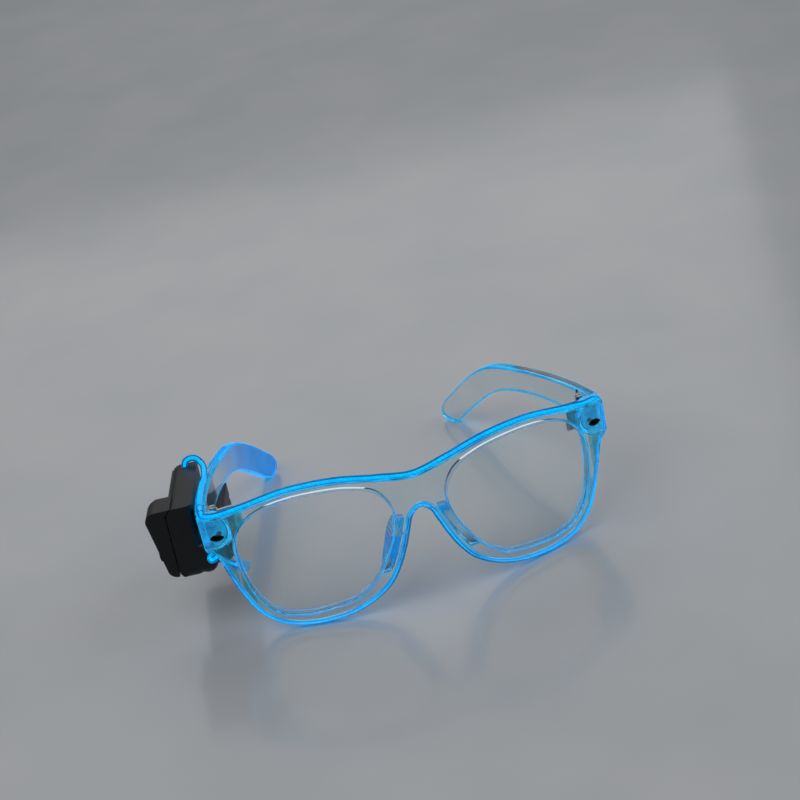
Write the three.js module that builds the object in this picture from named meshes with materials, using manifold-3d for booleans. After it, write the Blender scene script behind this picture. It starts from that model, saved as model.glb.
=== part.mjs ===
// Light up party glasses: a clear moulded front with two lenses, two folding temples on barrel
// hinges, a glowing wire let into the edges, and a coin-cell driver box on the wearer's right temple.
// Millimetres and degrees, +Z up. +X is the wearer's left, the front faces -Y and the temples run
// back along +Y. The origin is the centre of the footprint, on the surface the glasses stand on.

import * as THREE from 'three';
import { mergeVertices } from 'three/addons/utils/BufferGeometryUtils.js';
import Module from 'manifold-3d';

const wasm = await Module();
wasm.setup();

// Driving dimensions

// gap: clearance between two pieces that meet; overrun: how far a cut passes what it cuts
const fit = { gap: 0.3, overrun: 1 };

// halfWidth is measured along the curved front from the nose to the outer edge of an end piece
const front = {
  halfWidth: 73.2, height: 53.4, planRadius: 157, thickness: 4, blockDepth: 4.75, blockHeight: 13,
  blockWidth: 10.6, blockCorner: 1.2,
};
const wire = { radius: 1.15, depth: 2, sides: 8, bendRadius: 2.7, sink: 0.9 };
const lens = { thickness: 1.3, depth: 1.4, seatDepth: 0.8 };
const pad = { depth: 11.4, noseGap: 1.2, width: 3.4 };
const stud = { inset: 5.2, drop: 7, length: 5.2, width: 2.4, proudHeight: 0.55, pinRadius: 0.8, tilt: 8 };
const hinge = {
  inset: 2.2, standOff: 1.9, drop: 6.3, knuckleRadius: 1.6, barrelHeight: 1.8, count: 5,
  plateThickness: 1, frontLeafWidth: 6.6, templeLeafLength: 7.6, pinRadius: 0.65, headRadius: 1.25, headHeight: 0.7,
};
const temple = { thickness: 4, toe: 4, bowRadius: 180, drop: 0.2, depth: 12, length: 93.5 };
const box = {
  startGap: 5, cellMargin: 5.8, headroom: 1.3, aboveTemple: 1.5, heading: 9, slope: 11.5, cornerRadius: 3.2,
  floorDepth: 2.6, innerDepth: 5.6, wall: 1.2, floorWall: 0.7, footReach: 1.2, sectionLength: 14.4, lipHeight: 3.6,
  innerStartGap: 8.4,
};
const driverCase = { depth: 6.8, leanDepth: 3.2, rearGap: 0.4, raisedHeight: 1.2, overlap: 0.6, chamfer: 4.5 };
const cell = { radius: 10, thickness: 3.2, restGap: 0.15, lidGap: 0.2 };
const contact = { thickness: 0.25, width: 5, springWidth: 0.4 };
const cover = { thickness: 1.2, ridges: 6, ridgeHeight: 0.35, ridgeWidth: 0.7 };
const board = { thickness: 1, margin: 0.6, standOff: 5.1 };
const transformer = { width: 8, height: 7.6, depth: 6, drop: 7.6 };
const toggle = { width: 5, depth: 2.2, stemRadius: 1.3, rise: 8 };
const button = { radius: 2.6, flangeRadius: 3.3, flangeThickness: 0.8, proudHeight: 1, travelLength: 0.6 };
const screw = {
  shankRadius: 0.75, headRadius: 1.5, headHeight: 1, bossRadius: 1.9, bossHeight: 3, rise: 4.6, endMargin: 5.4,
};
const tail = { bulgeDepth: 1.95, dropHeight: 1.6, backGap: 1, inset: 13.6, fallHeight: 10.1 };
const tailCap = { radius: 1.75, length: 4, wall: 0.3 };

// Outlines

// Each point is a share of the front's half width (along the curve) and a share of its height.
const browShares = [[0, 0.911], [0.164, 0.951], [0.355, 1], [0.574, 0.994], [0.792, 0.92], [0.905, 0.88], [0.975, 0.867]];
const lowerShares = [
  [0.951, 0.578], [0.92, 0.45], [0.882, 0.305], [0.826, 0.155], [0.74, 0.062], [0.628, 0.025],
  [0.505, 0.027], [0.396, 0.054], [0.294, 0.112], [0.208, 0.2], [0.15, 0.315], [0.111, 0.43],
  [0.08, 0.545], [0.049, 0.645], [0, 0.688],
];
const lensShares = [
  [0.864, 0.548], [0.853, 0.69], [0.795, 0.812], [0.697, 0.894], [0.574, 0.936], [0.437, 0.945],
  [0.307, 0.926], [0.189, 0.861], [0.131, 0.718], [0.148, 0.548], [0.202, 0.388], [0.266, 0.254],
  [0.362, 0.151], [0.492, 0.113], [0.628, 0.099], [0.742, 0.14], [0.814, 0.258], [0.85, 0.4],
];
// Top of the end blocks and ends of the nose pads, as shares of the front's height.
const blockTopShare = 0.865;
const padShares = { low: 0.253, high: 0.682 };
// Where the wire follows the right temple's top, as shares of the box's length.
const topWireShares = [0.22, 0.39, 0.565, 0.717];
// Side view of a temple: a share of its run back, and a share of the height of its top edge.
const templeShares = [
  [0, 1], [0.2, 0.912], [0.42, 0.818], [0.6, 0.74], [0.7, 0.685], [0.78, 0.6], [0.86, 0.46],
  [0.94, 0.28], [0.985, 0.165], [1, 0.082], [0.985, 0.021], [0.955, 0.002], [0.925, 0.032],
  [0.87, 0.14], [0.79, 0.3], [0.71, 0.43], [0.62, 0.51], [0.42, 0.598], [0.2, 0.67], [0, 0.75],
];

// Helpers

const radians = (degrees) => degrees * Math.PI / 180;
const sides = { right: -1, left: 1 };
const clearTop = front.height + wire.radius + fit.overrun;

// A closed THREE geometry as a solid that can be joined and cut.
function solid(geometry) {
  const bare = geometry.clone();
  bare.deleteAttribute('normal');
  bare.deleteAttribute('uv');
  const merged = mergeVertices(bare, 1e-4);
  return new wasm.Manifold(new wasm.Mesh({
    numProp: 3,
    vertProperties: new Float32Array(merged.attributes.position.array),
    triVerts: new Uint32Array(merged.index.array),
  }));
}

function geometryOf(body) {
  const mesh = body.getMesh();
  const geometry = new THREE.BufferGeometry();
  geometry.setAttribute('position', new THREE.BufferAttribute(new Float32Array(mesh.vertProperties), 3));
  geometry.setIndex(new THREE.BufferAttribute(new Uint32Array(mesh.triVerts), 1));
  geometry.computeVertexNormals();
  return geometry;
}

const join = (...bodies) => bodies.reduce((whole, next) => whole.add(next));
const cut = (body, ...tools) => tools.reduce((rest, tool) => rest.subtract(tool), body);

// Extrudes a 2D outline: 'z' lays it flat and rises from `from` to `to`, 'y' stands it in X-Z, 'x' in Y-Z.
function prism(points, axis, from, to) {
  const shape = new THREE.Shape(points.map(([a, b]) => new THREE.Vector2(a, b)));
  const geometry = new THREE.ExtrudeGeometry(shape, { depth: to - from, bevelEnabled: false, curveSegments: 1 });
  if (axis === 'z') geometry.translate(0, 0, from);
  if (axis === 'y') geometry.rotateX(Math.PI / 2).translate(0, to, 0);
  if (axis === 'x') {
    geometry.translate(0, 0, from);
    geometry.applyMatrix4(new THREE.Matrix4().makeBasis(
      new THREE.Vector3(0, 1, 0), new THREE.Vector3(0, 0, 1), new THREE.Vector3(1, 0, 0)));
  }
  return solid(geometry);
}

// A box given by its two corners.
function block([x0, y0, z0], [x1, y1, z1]) {
  const geometry = new THREE.BoxGeometry(x1 - x0, y1 - y0, z1 - z0);
  return solid(geometry.translate((x0 + x1) / 2, (y0 + y1) / 2, (z0 + z1) / 2));
}

// A cylinder from one point to another.
function rod(from, to, radius, segments = 20) {
  const start = new THREE.Vector3(...from);
  const along = new THREE.Vector3(...to).sub(start);
  const geometry = new THREE.CylinderGeometry(radius, radius, along.length(), segments);
  const turn = new THREE.Quaternion().setFromUnitVectors(new THREE.Vector3(0, 1, 0), along.clone().normalize());
  geometry.applyQuaternion(turn).translate(...start.addScaledVector(along, 0.5).toArray());
  return solid(geometry);
}

// A round tube along a curve, closed at both ends.
function tubeGeometry(curve, radius, steps, count = wire.sides) {
  const ring = Array.from({ length: count }, (_, i) => {
    const angle = (i + 0.5) * 2 * Math.PI / count;
    return new THREE.Vector2(radius * Math.cos(angle), radius * Math.sin(angle));
  });
  return new THREE.ExtrudeGeometry(new THREE.Shape(ring), { steps, extrudePath: curve, bevelEnabled: false });
}

const throughPoints = (points) => new THREE.CatmullRomCurve3(
  points.map((point) => new THREE.Vector3(...point)), false, 'centripetal');

// Points of a smooth 2D line through the given ones.
function smooth(points, count, closed = false) {
  const curve = new THREE.CatmullRomCurve3(
    points.map(([a, b]) => new THREE.Vector3(a, b, 0)), closed, 'centripetal');
  const line = curve.getPoints(count).map(({ x, y }) => [x, y]);
  return closed ? line.slice(0, -1) : line;
}

// A rectangle with round corners.
function roundedRectangle([a0, b0], [a1, b1], radius, steps = 4) {
  const corners = [[a1 - radius, b0 + radius, -90], [a1 - radius, b1 - radius, 0],
    [a0 + radius, b1 - radius, 90], [a0 + radius, b0 + radius, 180]];
  return corners.flatMap(([a, b, start]) => Array.from({ length: steps + 1 }, (_, i) => {
    const angle = radians(start + 90 * i / steps);
    return [a + radius * Math.cos(angle), b + radius * Math.sin(angle)];
  }));
}

// Front: places on the curved front

const atDepth = (s, depth) => {
  const angle = s / front.planRadius;
  const radius = front.planRadius - depth;
  return [radius * Math.sin(angle), front.planRadius - radius * Math.cos(angle)];
};
const onFront = (s, depth, z) => [...atDepth(s, depth), z];
const flatX = (s) => atDepth(s, 0)[0];
const frontPoints = (shares) => shares.map(([s, z]) => [s * front.halfWidth, z * front.height]);
const [sideEdge, sideEdgeDepth] = atDepth(front.halfWidth, 0);
const blockTop = blockTopShare * front.height;
const blockBottom = blockTop - front.blockHeight;
const blockBack = sideEdgeDepth + front.blockDepth;

// A layer of the curved front between two depths, over its whole height.
function layer(from, to) {
  const steps = 36;
  const reach = front.halfWidth + lens.seatDepth + fit.overrun;
  const arc = (depth) => Array.from({ length: steps + 1 }, (_, i) => atDepth(reach * (2 * i / steps - 1), depth));
  return prism([...arc(from), ...arc(to).reverse()], 'z', -fit.overrun, clearTop);
}

const mirrored = (points) => points.map(([a, b]) => [-a, b]).reverse();

// Half outline from the brow's middle round the end piece to the nose arch.
function frontOutline() {
  const inX = (points) => points.map(([s, z]) => [flatX(s), z]);
  const brow = inX(smooth(frontPoints(browShares), 26));
  const lower = inX(smooth(frontPoints(lowerShares), 56));
  const { blockCorner } = front;
  const end = [
    [sideEdge - blockCorner, blockTop], [sideEdge, blockTop - blockCorner],
    [sideEdge, blockBottom + blockCorner], [sideEdge - blockCorner, blockBottom],
  ];
  const half = [...brow.filter(([x]) => x < sideEdge - blockCorner), ...end, ...lower];
  return [...half, ...mirrored(half).slice(1, -1)];
}

function lensOutline(side, grow) {
  const points = frontPoints(lensShares);
  const middle = [0, 1].map((k) => points.reduce((sum, p) => sum + p[k], 0) / points.length);
  const reach = [0, 1].map((k) => Math.max(...points.map((p) => Math.abs(p[k] - middle[k]))));
  const grown = points.map((p) => p.map((value, k) => middle[k] + (value - middle[k]) * (1 + grow / reach[k])));
  const line = smooth(grown, 54, true).map(([s, z]) => [flatX(s), z]);
  return side < 0 ? mirrored(line) : line;
}

const through = [-fit.overrun, blockBack + fit.overrun];

// Front: route of the glowing wire

const wireHeight = blockTop;
const templeCentre = sideEdge - temple.thickness / 2;
const templeTop = blockTop - temple.drop;
const hingeAxis = {
  x: templeCentre - temple.thickness / 2 - hinge.inset,
  y: blockBack + hinge.standOff,
};
const templeStart = blockBack + fit.gap;
const flexStart = blockBack - fit.gap;
const flexEnd = templeStart + hinge.standOff * 2;
const sideWireDepth = blockBack - wire.radius * 2;
const boxLength = box.sectionLength + (cell.radius + box.cellMargin) * 2;
const boxHeight = (cell.radius + box.wall + box.headroom) * 2;

// From the right temple over the brow, round the left end piece, along the lower edge to the tail.
function frontWirePoints() {
  const brow = frontPoints(browShares).slice(0, -2).map(([s, z]) => onFront(s, wire.depth, z));
  const lower = frontPoints(lowerShares).map(([s, z]) => onFront(s, wire.depth, z));
  const flip = (points) => points.map(([x, y, z]) => [-x, y, z]).reverse();
  const { blockCorner } = front;
  const bend = wire.radius * 2;
  const side = sideEdge - wire.sink;
  const [, turnDepth] = atDepth(front.halfWidth - wire.bendRadius, wire.depth);
  const corner = [0, 1 / 3, 2 / 3, 1].map((share) => {
    const angle = (1 - share) * Math.PI / 2;
    return [
      side - wire.bendRadius * (1 - Math.cos(angle)), turnDepth + (sideWireDepth - turnDepth) * share,
      wireHeight - wire.bendRadius * (1 - Math.sin(angle)),
    ];
  });
  const turn = [
    onFront(front.halfWidth - bend * 3, wire.depth, wireHeight + wire.radius / 2), ...corner,
    [side, sideWireDepth, blockBottom + bend],
    [side - blockCorner / 2, (sideWireDepth + turnDepth) / 2, blockBottom - blockCorner / 4],
  ];
  const edge = -sideEdge + blockCorner;
  const start = sideEdgeDepth - tail.bulgeDepth;
  const behind = blockBack - tail.backGap;
  const low = blockBottom - tail.dropHeight;
  const end = -front.halfWidth + tail.inset;
  const endHeight = blockBottom - tail.fallHeight;
  const tailPoints = [
    [edge, start, low],
    [edge, (start + behind) / 2, low - tail.dropHeight / 4],
    [edge + bend, behind, low - tail.dropHeight],
    [(edge + bend + end) / 2, behind, (low - tail.dropHeight + endHeight) / 2],
    [end, behind, endHeight],
  ];
  const first = [
    [-templeCentre, flexStart, wireHeight],
    [-templeCentre + blockCorner / 4, flexStart - bend, wireHeight],
    onFront(-front.halfWidth + bend * 2, wire.depth, wireHeight + wire.radius / 4),
  ];
  return [...first, ...flip(brow), ...brow.slice(1), ...turn, ...lower, ...flip(lower).slice(1), ...tailPoints];
}

// The groove stays open at both ends of the wire.
function frontGroove() {
  const curve = throughPoints(frontWirePoints());
  const start = [-templeCentre, flexStart, wireHeight];
  return join(
    solid(tubeGeometry(curve, wire.radius + fit.gap, 150)),
    rod(start, [start[0], blockBack + fit.overrun, start[2]], wire.radius + fit.gap, wire.sides));
}

// Front: pieces

// The thick block behind an end piece: straight outside, a half round towards the lens.
function endBlock(side) {
  const { blockCorner } = front;
  const radius = front.blockHeight / 2;
  const arcCentre = sideEdge - front.blockWidth + radius;
  const middle = blockTop - radius;
  const round = Array.from({ length: 17 }, (_, i) => {
    const angle = radians(90 + 180 * i / 16);
    return [arcCentre + radius * Math.cos(angle), middle + radius * Math.sin(angle)];
  });
  const outline = [
    [sideEdge - blockCorner, blockBottom], [sideEdge, blockBottom + blockCorner],
    [sideEdge, blockTop - blockCorner], [sideEdge - blockCorner, blockTop], ...round,
  ];
  const whole = prism(side < 0 ? mirrored(outline) : outline, 'y', -fit.overrun, blockBack);
  return whole.intersect(layer(0, blockBack * 2));
}

// Nose pad: a band beside the nose arch that swells towards the back.
function nosePad(side) {
  const lower = frontPoints(lowerShares).map(([s, z]) => [flatX(s), z]);
  const low = padShares.low * front.height;
  const high = padShares.high * front.height;
  const inner = smooth(lower, 60).filter(([, z]) => z > low && z < high).map(([x, z]) => [x + pad.noseGap, z]);
  const near = inner.filter(([x]) => x < flatX(front.halfWidth / 4));
  const band = [...near, ...near.map(([x, z]) => [x + pad.width, z]).reverse()];
  const middle = (low + high) / 2;
  const swell = (high - low) / 6;
  const profile = [
    [wire.depth, low], [front.thickness * 2, low + swell], [pad.depth, middle - swell],
    [pad.depth, middle + swell * 1.5], [pad.depth - front.thickness, high], [wire.depth, high],
  ];
  const body = prism(side < 0 ? mirrored(band) : band, 'y', ...through);
  return body.intersect(prism(profile, 'x', -front.halfWidth, front.halfWidth));
}

const studAcross = front.halfWidth - stud.inset;
const studAngle = studAcross / front.planRadius;
const studPlace = (side) => ({ base: onFront(side * studAcross, 0, blockTop - stud.drop), angle: side * studAngle });
const pinLength = (blockBack - atDepth(studAcross, 0)[1]) / Math.cos(studAngle);

function studPin(side, radius, length) {
  const { base, angle } = studPlace(side);
  const inward = [-Math.sin(angle), Math.cos(angle), 0];
  const reach = (distance) => base.map((value, k) => value + inward[k] * distance);
  return rod(reach(-stud.proudHeight - fit.overrun), reach(length), radius, 12);
}

function frontFrame() {
  const plate = prism(frontOutline(), 'y', ...through).intersect(layer(0, front.thickness));
  const bothSides = (make) => join(...Object.values(sides).map(make));
  const apertures = bothSides((side) => prism(lensOutline(side, 0), 'y', ...through));
  const seats = bothSides((side) => prism(lensOutline(side, lens.seatDepth + fit.gap), 'y', ...through))
    .intersect(layer(lens.depth - fit.gap, lens.depth + lens.thickness + fit.gap));
  const pins = bothSides((side) => studPin(side, stud.pinRadius + fit.gap, pinLength + fit.overrun));
  const body = join(plate, bothSides(endBlock), bothSides(nosePad));
  return geometryOf(cut(body, apertures, seats, pins, frontGroove()));
}

function lensPiece(side) {
  const whole = prism(lensOutline(side, lens.seatDepth), 'y', ...through);
  return geometryOf(whole.intersect(layer(lens.depth, lens.depth + lens.thickness)));
}

// A pointed oval with a domed face, on a pin that passes through the end piece.
function studPiece(side) {
  const steps = 8;
  const rings = [[1, 0], [0.82, 0.6], [0.45, 0.92]];
  const oval = (share) => Array.from({ length: steps * 2 }, (_, i) => {
    const along = Math.cos(i * Math.PI / steps);
    const across = (1 - along * along) * Math.sign(Math.sin(i * Math.PI / steps) || 1);
    return [share * along * stud.length / 2, share * across * stud.width / 2];
  });
  const layers = rings.map(([share, rise]) => {
    const next = rise * stud.proudHeight;
    return prism(oval(share), 'y', -next - stud.proudHeight * 0.4, 0);
  });
  const { base, angle } = studPlace(side);
  const placed = (body) => {
    const turned = geometryOf(body);
    turned.rotateY(radians(stud.tilt) * side);
    turned.translate(0, -fit.gap, 0).rotateZ(angle).translate(...base);
    return solid(turned);
  };
  const behindHead = layer(-fit.gap - stud.proudHeight * 0.4, blockBack * 2);
  return geometryOf(join(placed(join(...layers)), studPin(side, stud.pinRadius, pinLength - fit.gap).intersect(behindHead)));
}

// Hinges

const barrelPitch = hinge.barrelHeight + fit.gap;
const barrelsFrom = blockTop - hinge.drop - (hinge.count * barrelPitch - fit.gap) / 2;
const barrelLow = (index) => barrelsFrom + index * barrelPitch;
const barrelsOf = (parity) => Array.from({ length: hinge.count }, (_, i) => i).filter((i) => i % 2 === parity);
const leafLow = barrelLow(0);
const leafHigh = barrelLow(hinge.count - 1) + hinge.barrelHeight;

// Knuckles of one leaf, each with the web that ties it to its plate; the plate makes room for the others.
function knuckles(side, parity, plate, webTo) {
  const x = side * hingeAxis.x;
  const room = barrelsOf(1 - parity).map((index) => rod(
    [x, hingeAxis.y, barrelLow(index) - fit.gap], [x, hingeAxis.y, barrelLow(index) + hinge.barrelHeight + fit.gap],
    hinge.knuckleRadius + fit.gap));
  const parts = barrelsOf(parity).flatMap((index) => {
    const low = barrelLow(index);
    const high = low + hinge.barrelHeight;
    const [wx, wy] = webTo;
    const web = block(
      [Math.min(x, wx), Math.min(hingeAxis.y, wy), low], [Math.max(x, wx), Math.max(hingeAxis.y, wy), high]);
    return [rod([x, hingeAxis.y, low], [x, hingeAxis.y, high], hinge.knuckleRadius), web];
  });
  const bore = rod(
    [x, hingeAxis.y, leafLow - fit.overrun], [x, hingeAxis.y, leafHigh + fit.overrun], hinge.pinRadius + fit.gap);
  return geometryOf(cut(join(cut(plate, ...room), ...parts), bore));
}

const span = (a, b) => [Math.min(a, b), Math.max(a, b)];

function frontLeaf(side) {
  const plateFront = blockBack + fit.gap;
  const plateBack = plateFront + hinge.plateThickness;
  const [x0, x1] = span(side * (hingeAxis.x + hinge.knuckleRadius / 2), side * (hingeAxis.x - hinge.frontLeafWidth));
  const plate = block([x0, plateFront, leafLow], [x1, plateBack, leafHigh]);
  return knuckles(side, 0, plate, [side * (hingeAxis.x + hinge.knuckleRadius / 2), plateFront]);
}

// The temple leaf's plate lies in a pocket in the temple's inner face.
function templePlate(side, grow = 0) {
  const inner = hingeAxis.x + hinge.inset - fit.gap;
  const [x0, x1] = span(side * (inner + grow), side * (inner - hinge.plateThickness - grow));
  const start = hingeAxis.y + hinge.knuckleRadius + fit.gap;
  const end = hingeAxis.y + hinge.templeLeafLength;
  const drop = hinge.plateThickness + fit.gap - grow;
  const profile = [
    [start - grow, leafLow - grow], [end + grow, leafLow - grow],
    [end + grow, topOf(end) - drop], [start - grow, Math.min(leafHigh + grow, topOf(start) - drop)],
  ];
  return prism(profile, 'x', x0, x1);
}

function templeLeaf(side) {
  const inner = hingeAxis.x + hinge.inset - fit.gap;
  const [x0, x1] = span(side * inner, side * (inner - hinge.plateThickness));
  const start = hingeAxis.y;
  const neckBack = start + hinge.knuckleRadius + fit.gap + hinge.plateThickness;
  const joined = join(templePlate(side), ...barrelsOf(1).map((index) => block(
    [x0, start, barrelLow(index)], [x1, neckBack, barrelLow(index) + hinge.barrelHeight])));
  return knuckles(side, 1, joined, [side * (inner - hinge.plateThickness / 2), start - hinge.knuckleRadius / 2]);
}

function hingeScrew(side) {
  const x = side * hingeAxis.x;
  const headLow = leafHigh + fit.gap;
  return geometryOf(join(
    rod([x, hingeAxis.y, leafLow], [x, hingeAxis.y, headLow + hinge.headHeight], hinge.pinRadius),
    rod([x, hingeAxis.y, headLow], [x, hingeAxis.y, headLow + hinge.headHeight], hinge.headRadius)));
}

// Temples

// Place on a temple's centre line, `distance` behind its butt; `out` is measured outwards from it.
function templePlace(side, distance, out = 0) {
  const toe = radians(temple.toe);
  const heading = toe + distance / temple.bowRadius;
  const x = templeCentre - temple.bowRadius * (Math.cos(toe) - Math.cos(heading));
  const y = templeStart + temple.bowRadius * (Math.sin(heading) - Math.sin(toe));
  return [side * (x + out * Math.cos(heading)), y + out * Math.sin(heading)];
}

function templeSolid(side, grow) {
  const reach = temple.length + temple.thickness * 4;
  const steps = 22;
  const half = temple.thickness / 2 + grow;
  const edge = (out) => Array.from({ length: steps + 1 }, (_, i) => templePlace(side, reach * i / steps, out));
  const square = (out) => [templePlace(side, 0, out)[0], templeStart - temple.thickness];
  const outer = [square(half), ...edge(half)];
  const inner = [square(-half), ...edge(-half)];
  const plan = side < 0 ? [...outer.reverse(), ...inner] : [...inner.reverse(), ...outer];
  const profile = templeShares.map(([y, z]) => [templeStart + y * temple.length, z * templeTop]);
  const line = smooth(profile, 96);
  const swollen = line.map(([y, z]) => {
    const middle = middleHeight(y);
    return [y, z + Math.sign(z - middle) * grow];
  });
  return prism(plan, 'z', -fit.overrun * 4, clearTop + grow)
    .intersect(prism(swollen, 'x', -front.halfWidth * 2, front.halfWidth * 2));
}

// Height of the middle of a temple's side at a given place along Y.
function middleHeight(y) {
  const drop = Math.tan(radians(box.slope)) * (y - templeStart);
  return templeTop - temple.depth / 2 - drop;
}

const topOf = (y) => templeTop - Math.tan(radians(box.slope)) * (y - templeStart);

// The wire lies along the right temple's top edge, then crosses over into the box.
function templeWirePoints() {
  const onTop = (distance) => {
    const [x, y] = templePlace(-1, distance);
    return [x, y, topOf(y) + wire.radius / 2];
  };
  const runs = [flexEnd + fit.gap - templeStart, ...topWireShares.map((share) => share * boxLength)];
  const entry = new THREE.Matrix4().copy(boxMatrix());
  const inBox = (out, along, up) => new THREE.Vector3(-out, along, up).applyMatrix4(entry).toArray();
  const top = box.aboveTemple + wire.radius * 2;
  const entryAlong = boxLength - screw.endMargin / 2;
  return [
    ...runs.map(onTop),
    inBox(box.wall - wire.radius, entryAlong - wire.radius * 5, top - wire.radius),
    inBox(box.floorDepth, entryAlong - wire.radius * 2, top + wire.radius / 2),
    inBox(box.floorDepth + wire.radius * 3, entryAlong, top - wire.radius / 2),
    inBox(box.floorDepth + wire.radius * 4, entryAlong, box.aboveTemple - box.wall),
    inBox(box.floorDepth + wire.radius * 4, entryAlong, box.aboveTemple - box.wall * 2),
  ];
}

function flexPoints() {
  const [x, y] = templePlace(-1, flexEnd - templeStart);
  return [
    [-templeCentre, flexStart + fit.gap, wireHeight],
    [(-templeCentre * 3 + x) / 4, flexStart * 0.75 + flexEnd * 0.25, wireHeight],
    [x, y - wire.radius, topOf(y - wire.radius) + wire.radius / 2],
    [x, y, topOf(y) + wire.radius / 2],
  ];
}

function templePiece(side) {
  const body = cut(templeSolid(side, 0), templePlate(side, fit.gap));
  if (side > 0) return geometryOf(body);
  const points = templeWirePoints().slice(0, -4);
  const [x, , z] = points[0];
  const lead = [x, templeStart - fit.overrun, z + fit.gap];
  const groove = solid(tubeGeometry(throughPoints([lead, ...points]), wire.radius + fit.gap, 30));
  return geometryOf(cut(body, groove));
}

// Box on the right temple. Its own axes: -X outwards, +Y back along the temple, +Z up, from the
// temple's top edge at the box's front.

function boxMatrix() {
  const [x, y] = templePlace(-1, box.startGap);
  const place = new THREE.Object3D();
  place.rotation.set(radians(-box.slope), 0, radians(-box.heading), 'ZXY');
  place.position.set(x, y, topOf(y));
  place.updateMatrix();
  return place.matrix;
}

// The right temple, a gap larger all round, in the box's axes.
function templeChannel() {
  const grown = geometryOf(templeSolid(-1, fit.gap));
  return solid(grown.applyMatrix4(boxMatrix().invert()));
}

const boxTop = box.aboveTemple;
const boxBottom = boxTop - boxHeight;
const templeBottom = -temple.depth - fit.gap;

// A prism along the box; `out` runs outwards, so it is the negative of X.
function boxPrism(points, from, to) {
  return prism(points.map(([out, up]) => [-out, up]).reverse(), 'y', from, to);
}

const boxBlock = ([out0, along0, up0], [out1, along1, up1]) => block([-out1, along0, up0], [-out0, along1, up1]);
const boxRod = (from, to, radius, segments) => rod(
  [-from[0], from[1], from[2]], [-to[0], to[1], to[2]], radius, segments);

const screwPlaces = { front: box.innerStartGap + screw.endMargin, rear: boxLength - screw.endMargin };
const screwHeight = boxBottom + screw.rise;

const cellAlong = (box.sectionLength + boxLength) / 2;
const cellUp = boxBottom + boxHeight / 2;
const floorTop = box.floorDepth + box.floorWall;
const stackStart = floorTop + contact.thickness + cell.restGap * 2;
const outerDepth = stackStart + cell.thickness * 2 + cell.restGap + cell.lidGap + cover.thickness;
const wireEntry = () => templeWirePoints().slice(-4);

// Tray that holds the cells and the driver: open outwards, with a wall between the two and a foot under the temple.
function boxBody() {
  const { wall, sectionLength, floorDepth } = box;
  const round = roundedRectangle([floorDepth, boxBottom], [outerDepth, boxTop], box.cornerRadius);
  const outline = [...round.slice(0, round.length / 2), [floorDepth, boxTop], ...round.slice(-round.length / 4)];
  const underside = roundedRectangle([-box.footReach, boxBottom], [floorDepth + box.cornerRadius, templeBottom], box.cornerRadius);
  const foot = cut(boxPrism(underside, 0, box.innerStartGap - fit.gap), templeChannel());
  const shell = join(boxPrism(outline, 0, boxLength), foot);
  const beyond = outerDepth + fit.overrun;
  const frontRoom = boxBlock(
    [floorTop, wall, boxBottom + wall], [beyond, sectionLength - wall / 2, boxTop - wall]);
  const cellRoom = boxBlock(
    [floorTop, sectionLength + wall / 2, boxBottom + wall], [beyond, boxLength - wall, boxTop - wall]);
  const coverPath = boxBlock(
    [outerDepth - cover.thickness - fit.gap * 2, sectionLength + wall / 2, boxBottom + wall],
    [beyond, boxLength + fit.overrun, boxTop - wall]);
  const across = (from, to, radius, segments) => Object.values(screwPlaces).map((along) => boxRod(
    [from, along, screwHeight], [to, along, screwHeight], radius, segments));
  const bossTop = floorDepth + screw.bossHeight;
  const holes = across(floorDepth - fit.overrun, bossTop, screw.shankRadius + fit.gap, 12);
  const bosses = across(floorDepth, bossTop + wall, screw.bossRadius, 16);
  const entry = tubeGeometry(throughPoints(wireEntry()), wire.radius + fit.gap, 12);
  entry.applyMatrix4(boxMatrix().invert());
  return geometryOf(cut(join(cut(shell, frontRoom, cellRoom, coverPath), ...bosses), ...holes, solid(entry)));
}

// Shell under the temple, with a lip that holds the temple against the box body.
function innerShell() {
  const { wall, innerDepth, floorDepth, innerStartGap } = box;
  const face = floorDepth - fit.gap;
  const round = roundedRectangle([-innerDepth, boxBottom], [face, templeBottom], box.cornerRadius);
  const outline = [[face, boxBottom], [face, templeBottom], ...round.slice(round.length / 2)];
  const body = boxPrism(outline, innerStartGap, boxLength);
  const lip = boxBlock(
    [-innerDepth, innerStartGap, templeBottom - wall],
    [-innerDepth + floorDepth + wall, boxLength, templeBottom + box.lipHeight]);
  const room = boxBlock(
    [-innerDepth + wall, screwPlaces.front + screw.bossRadius, boxBottom + wall],
    [face + fit.overrun, screwPlaces.rear - screw.bossRadius, templeBottom - wall * 2]);
  const before = -innerDepth - fit.overrun;
  const headRoom = -innerDepth + screw.headHeight + fit.gap * 2;
  const holes = Object.values(screwPlaces).flatMap((along) => [
    boxRod([before, along, screwHeight], [face + fit.overrun, along, screwHeight], screw.shankRadius + fit.gap, 12),
    boxRod([before, along, screwHeight], [headRoom, along, screwHeight], screw.headRadius + fit.gap, 16),
  ]);
  return geometryOf(cut(join(body, lip), room, templeChannel(), ...holes));
}

function caseScrew(along) {
  const seat = -box.innerDepth + screw.headHeight + fit.gap;
  const end = box.floorDepth + screw.bossHeight - fit.gap;
  return geometryOf(join(
    boxRod([seat - screw.headHeight, along, screwHeight], [seat, along, screwHeight], screw.headRadius, 16),
    boxRod([seat - screw.headHeight / 2, along, screwHeight], [end, along, screwHeight], screw.shankRadius, 12)));
}

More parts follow.
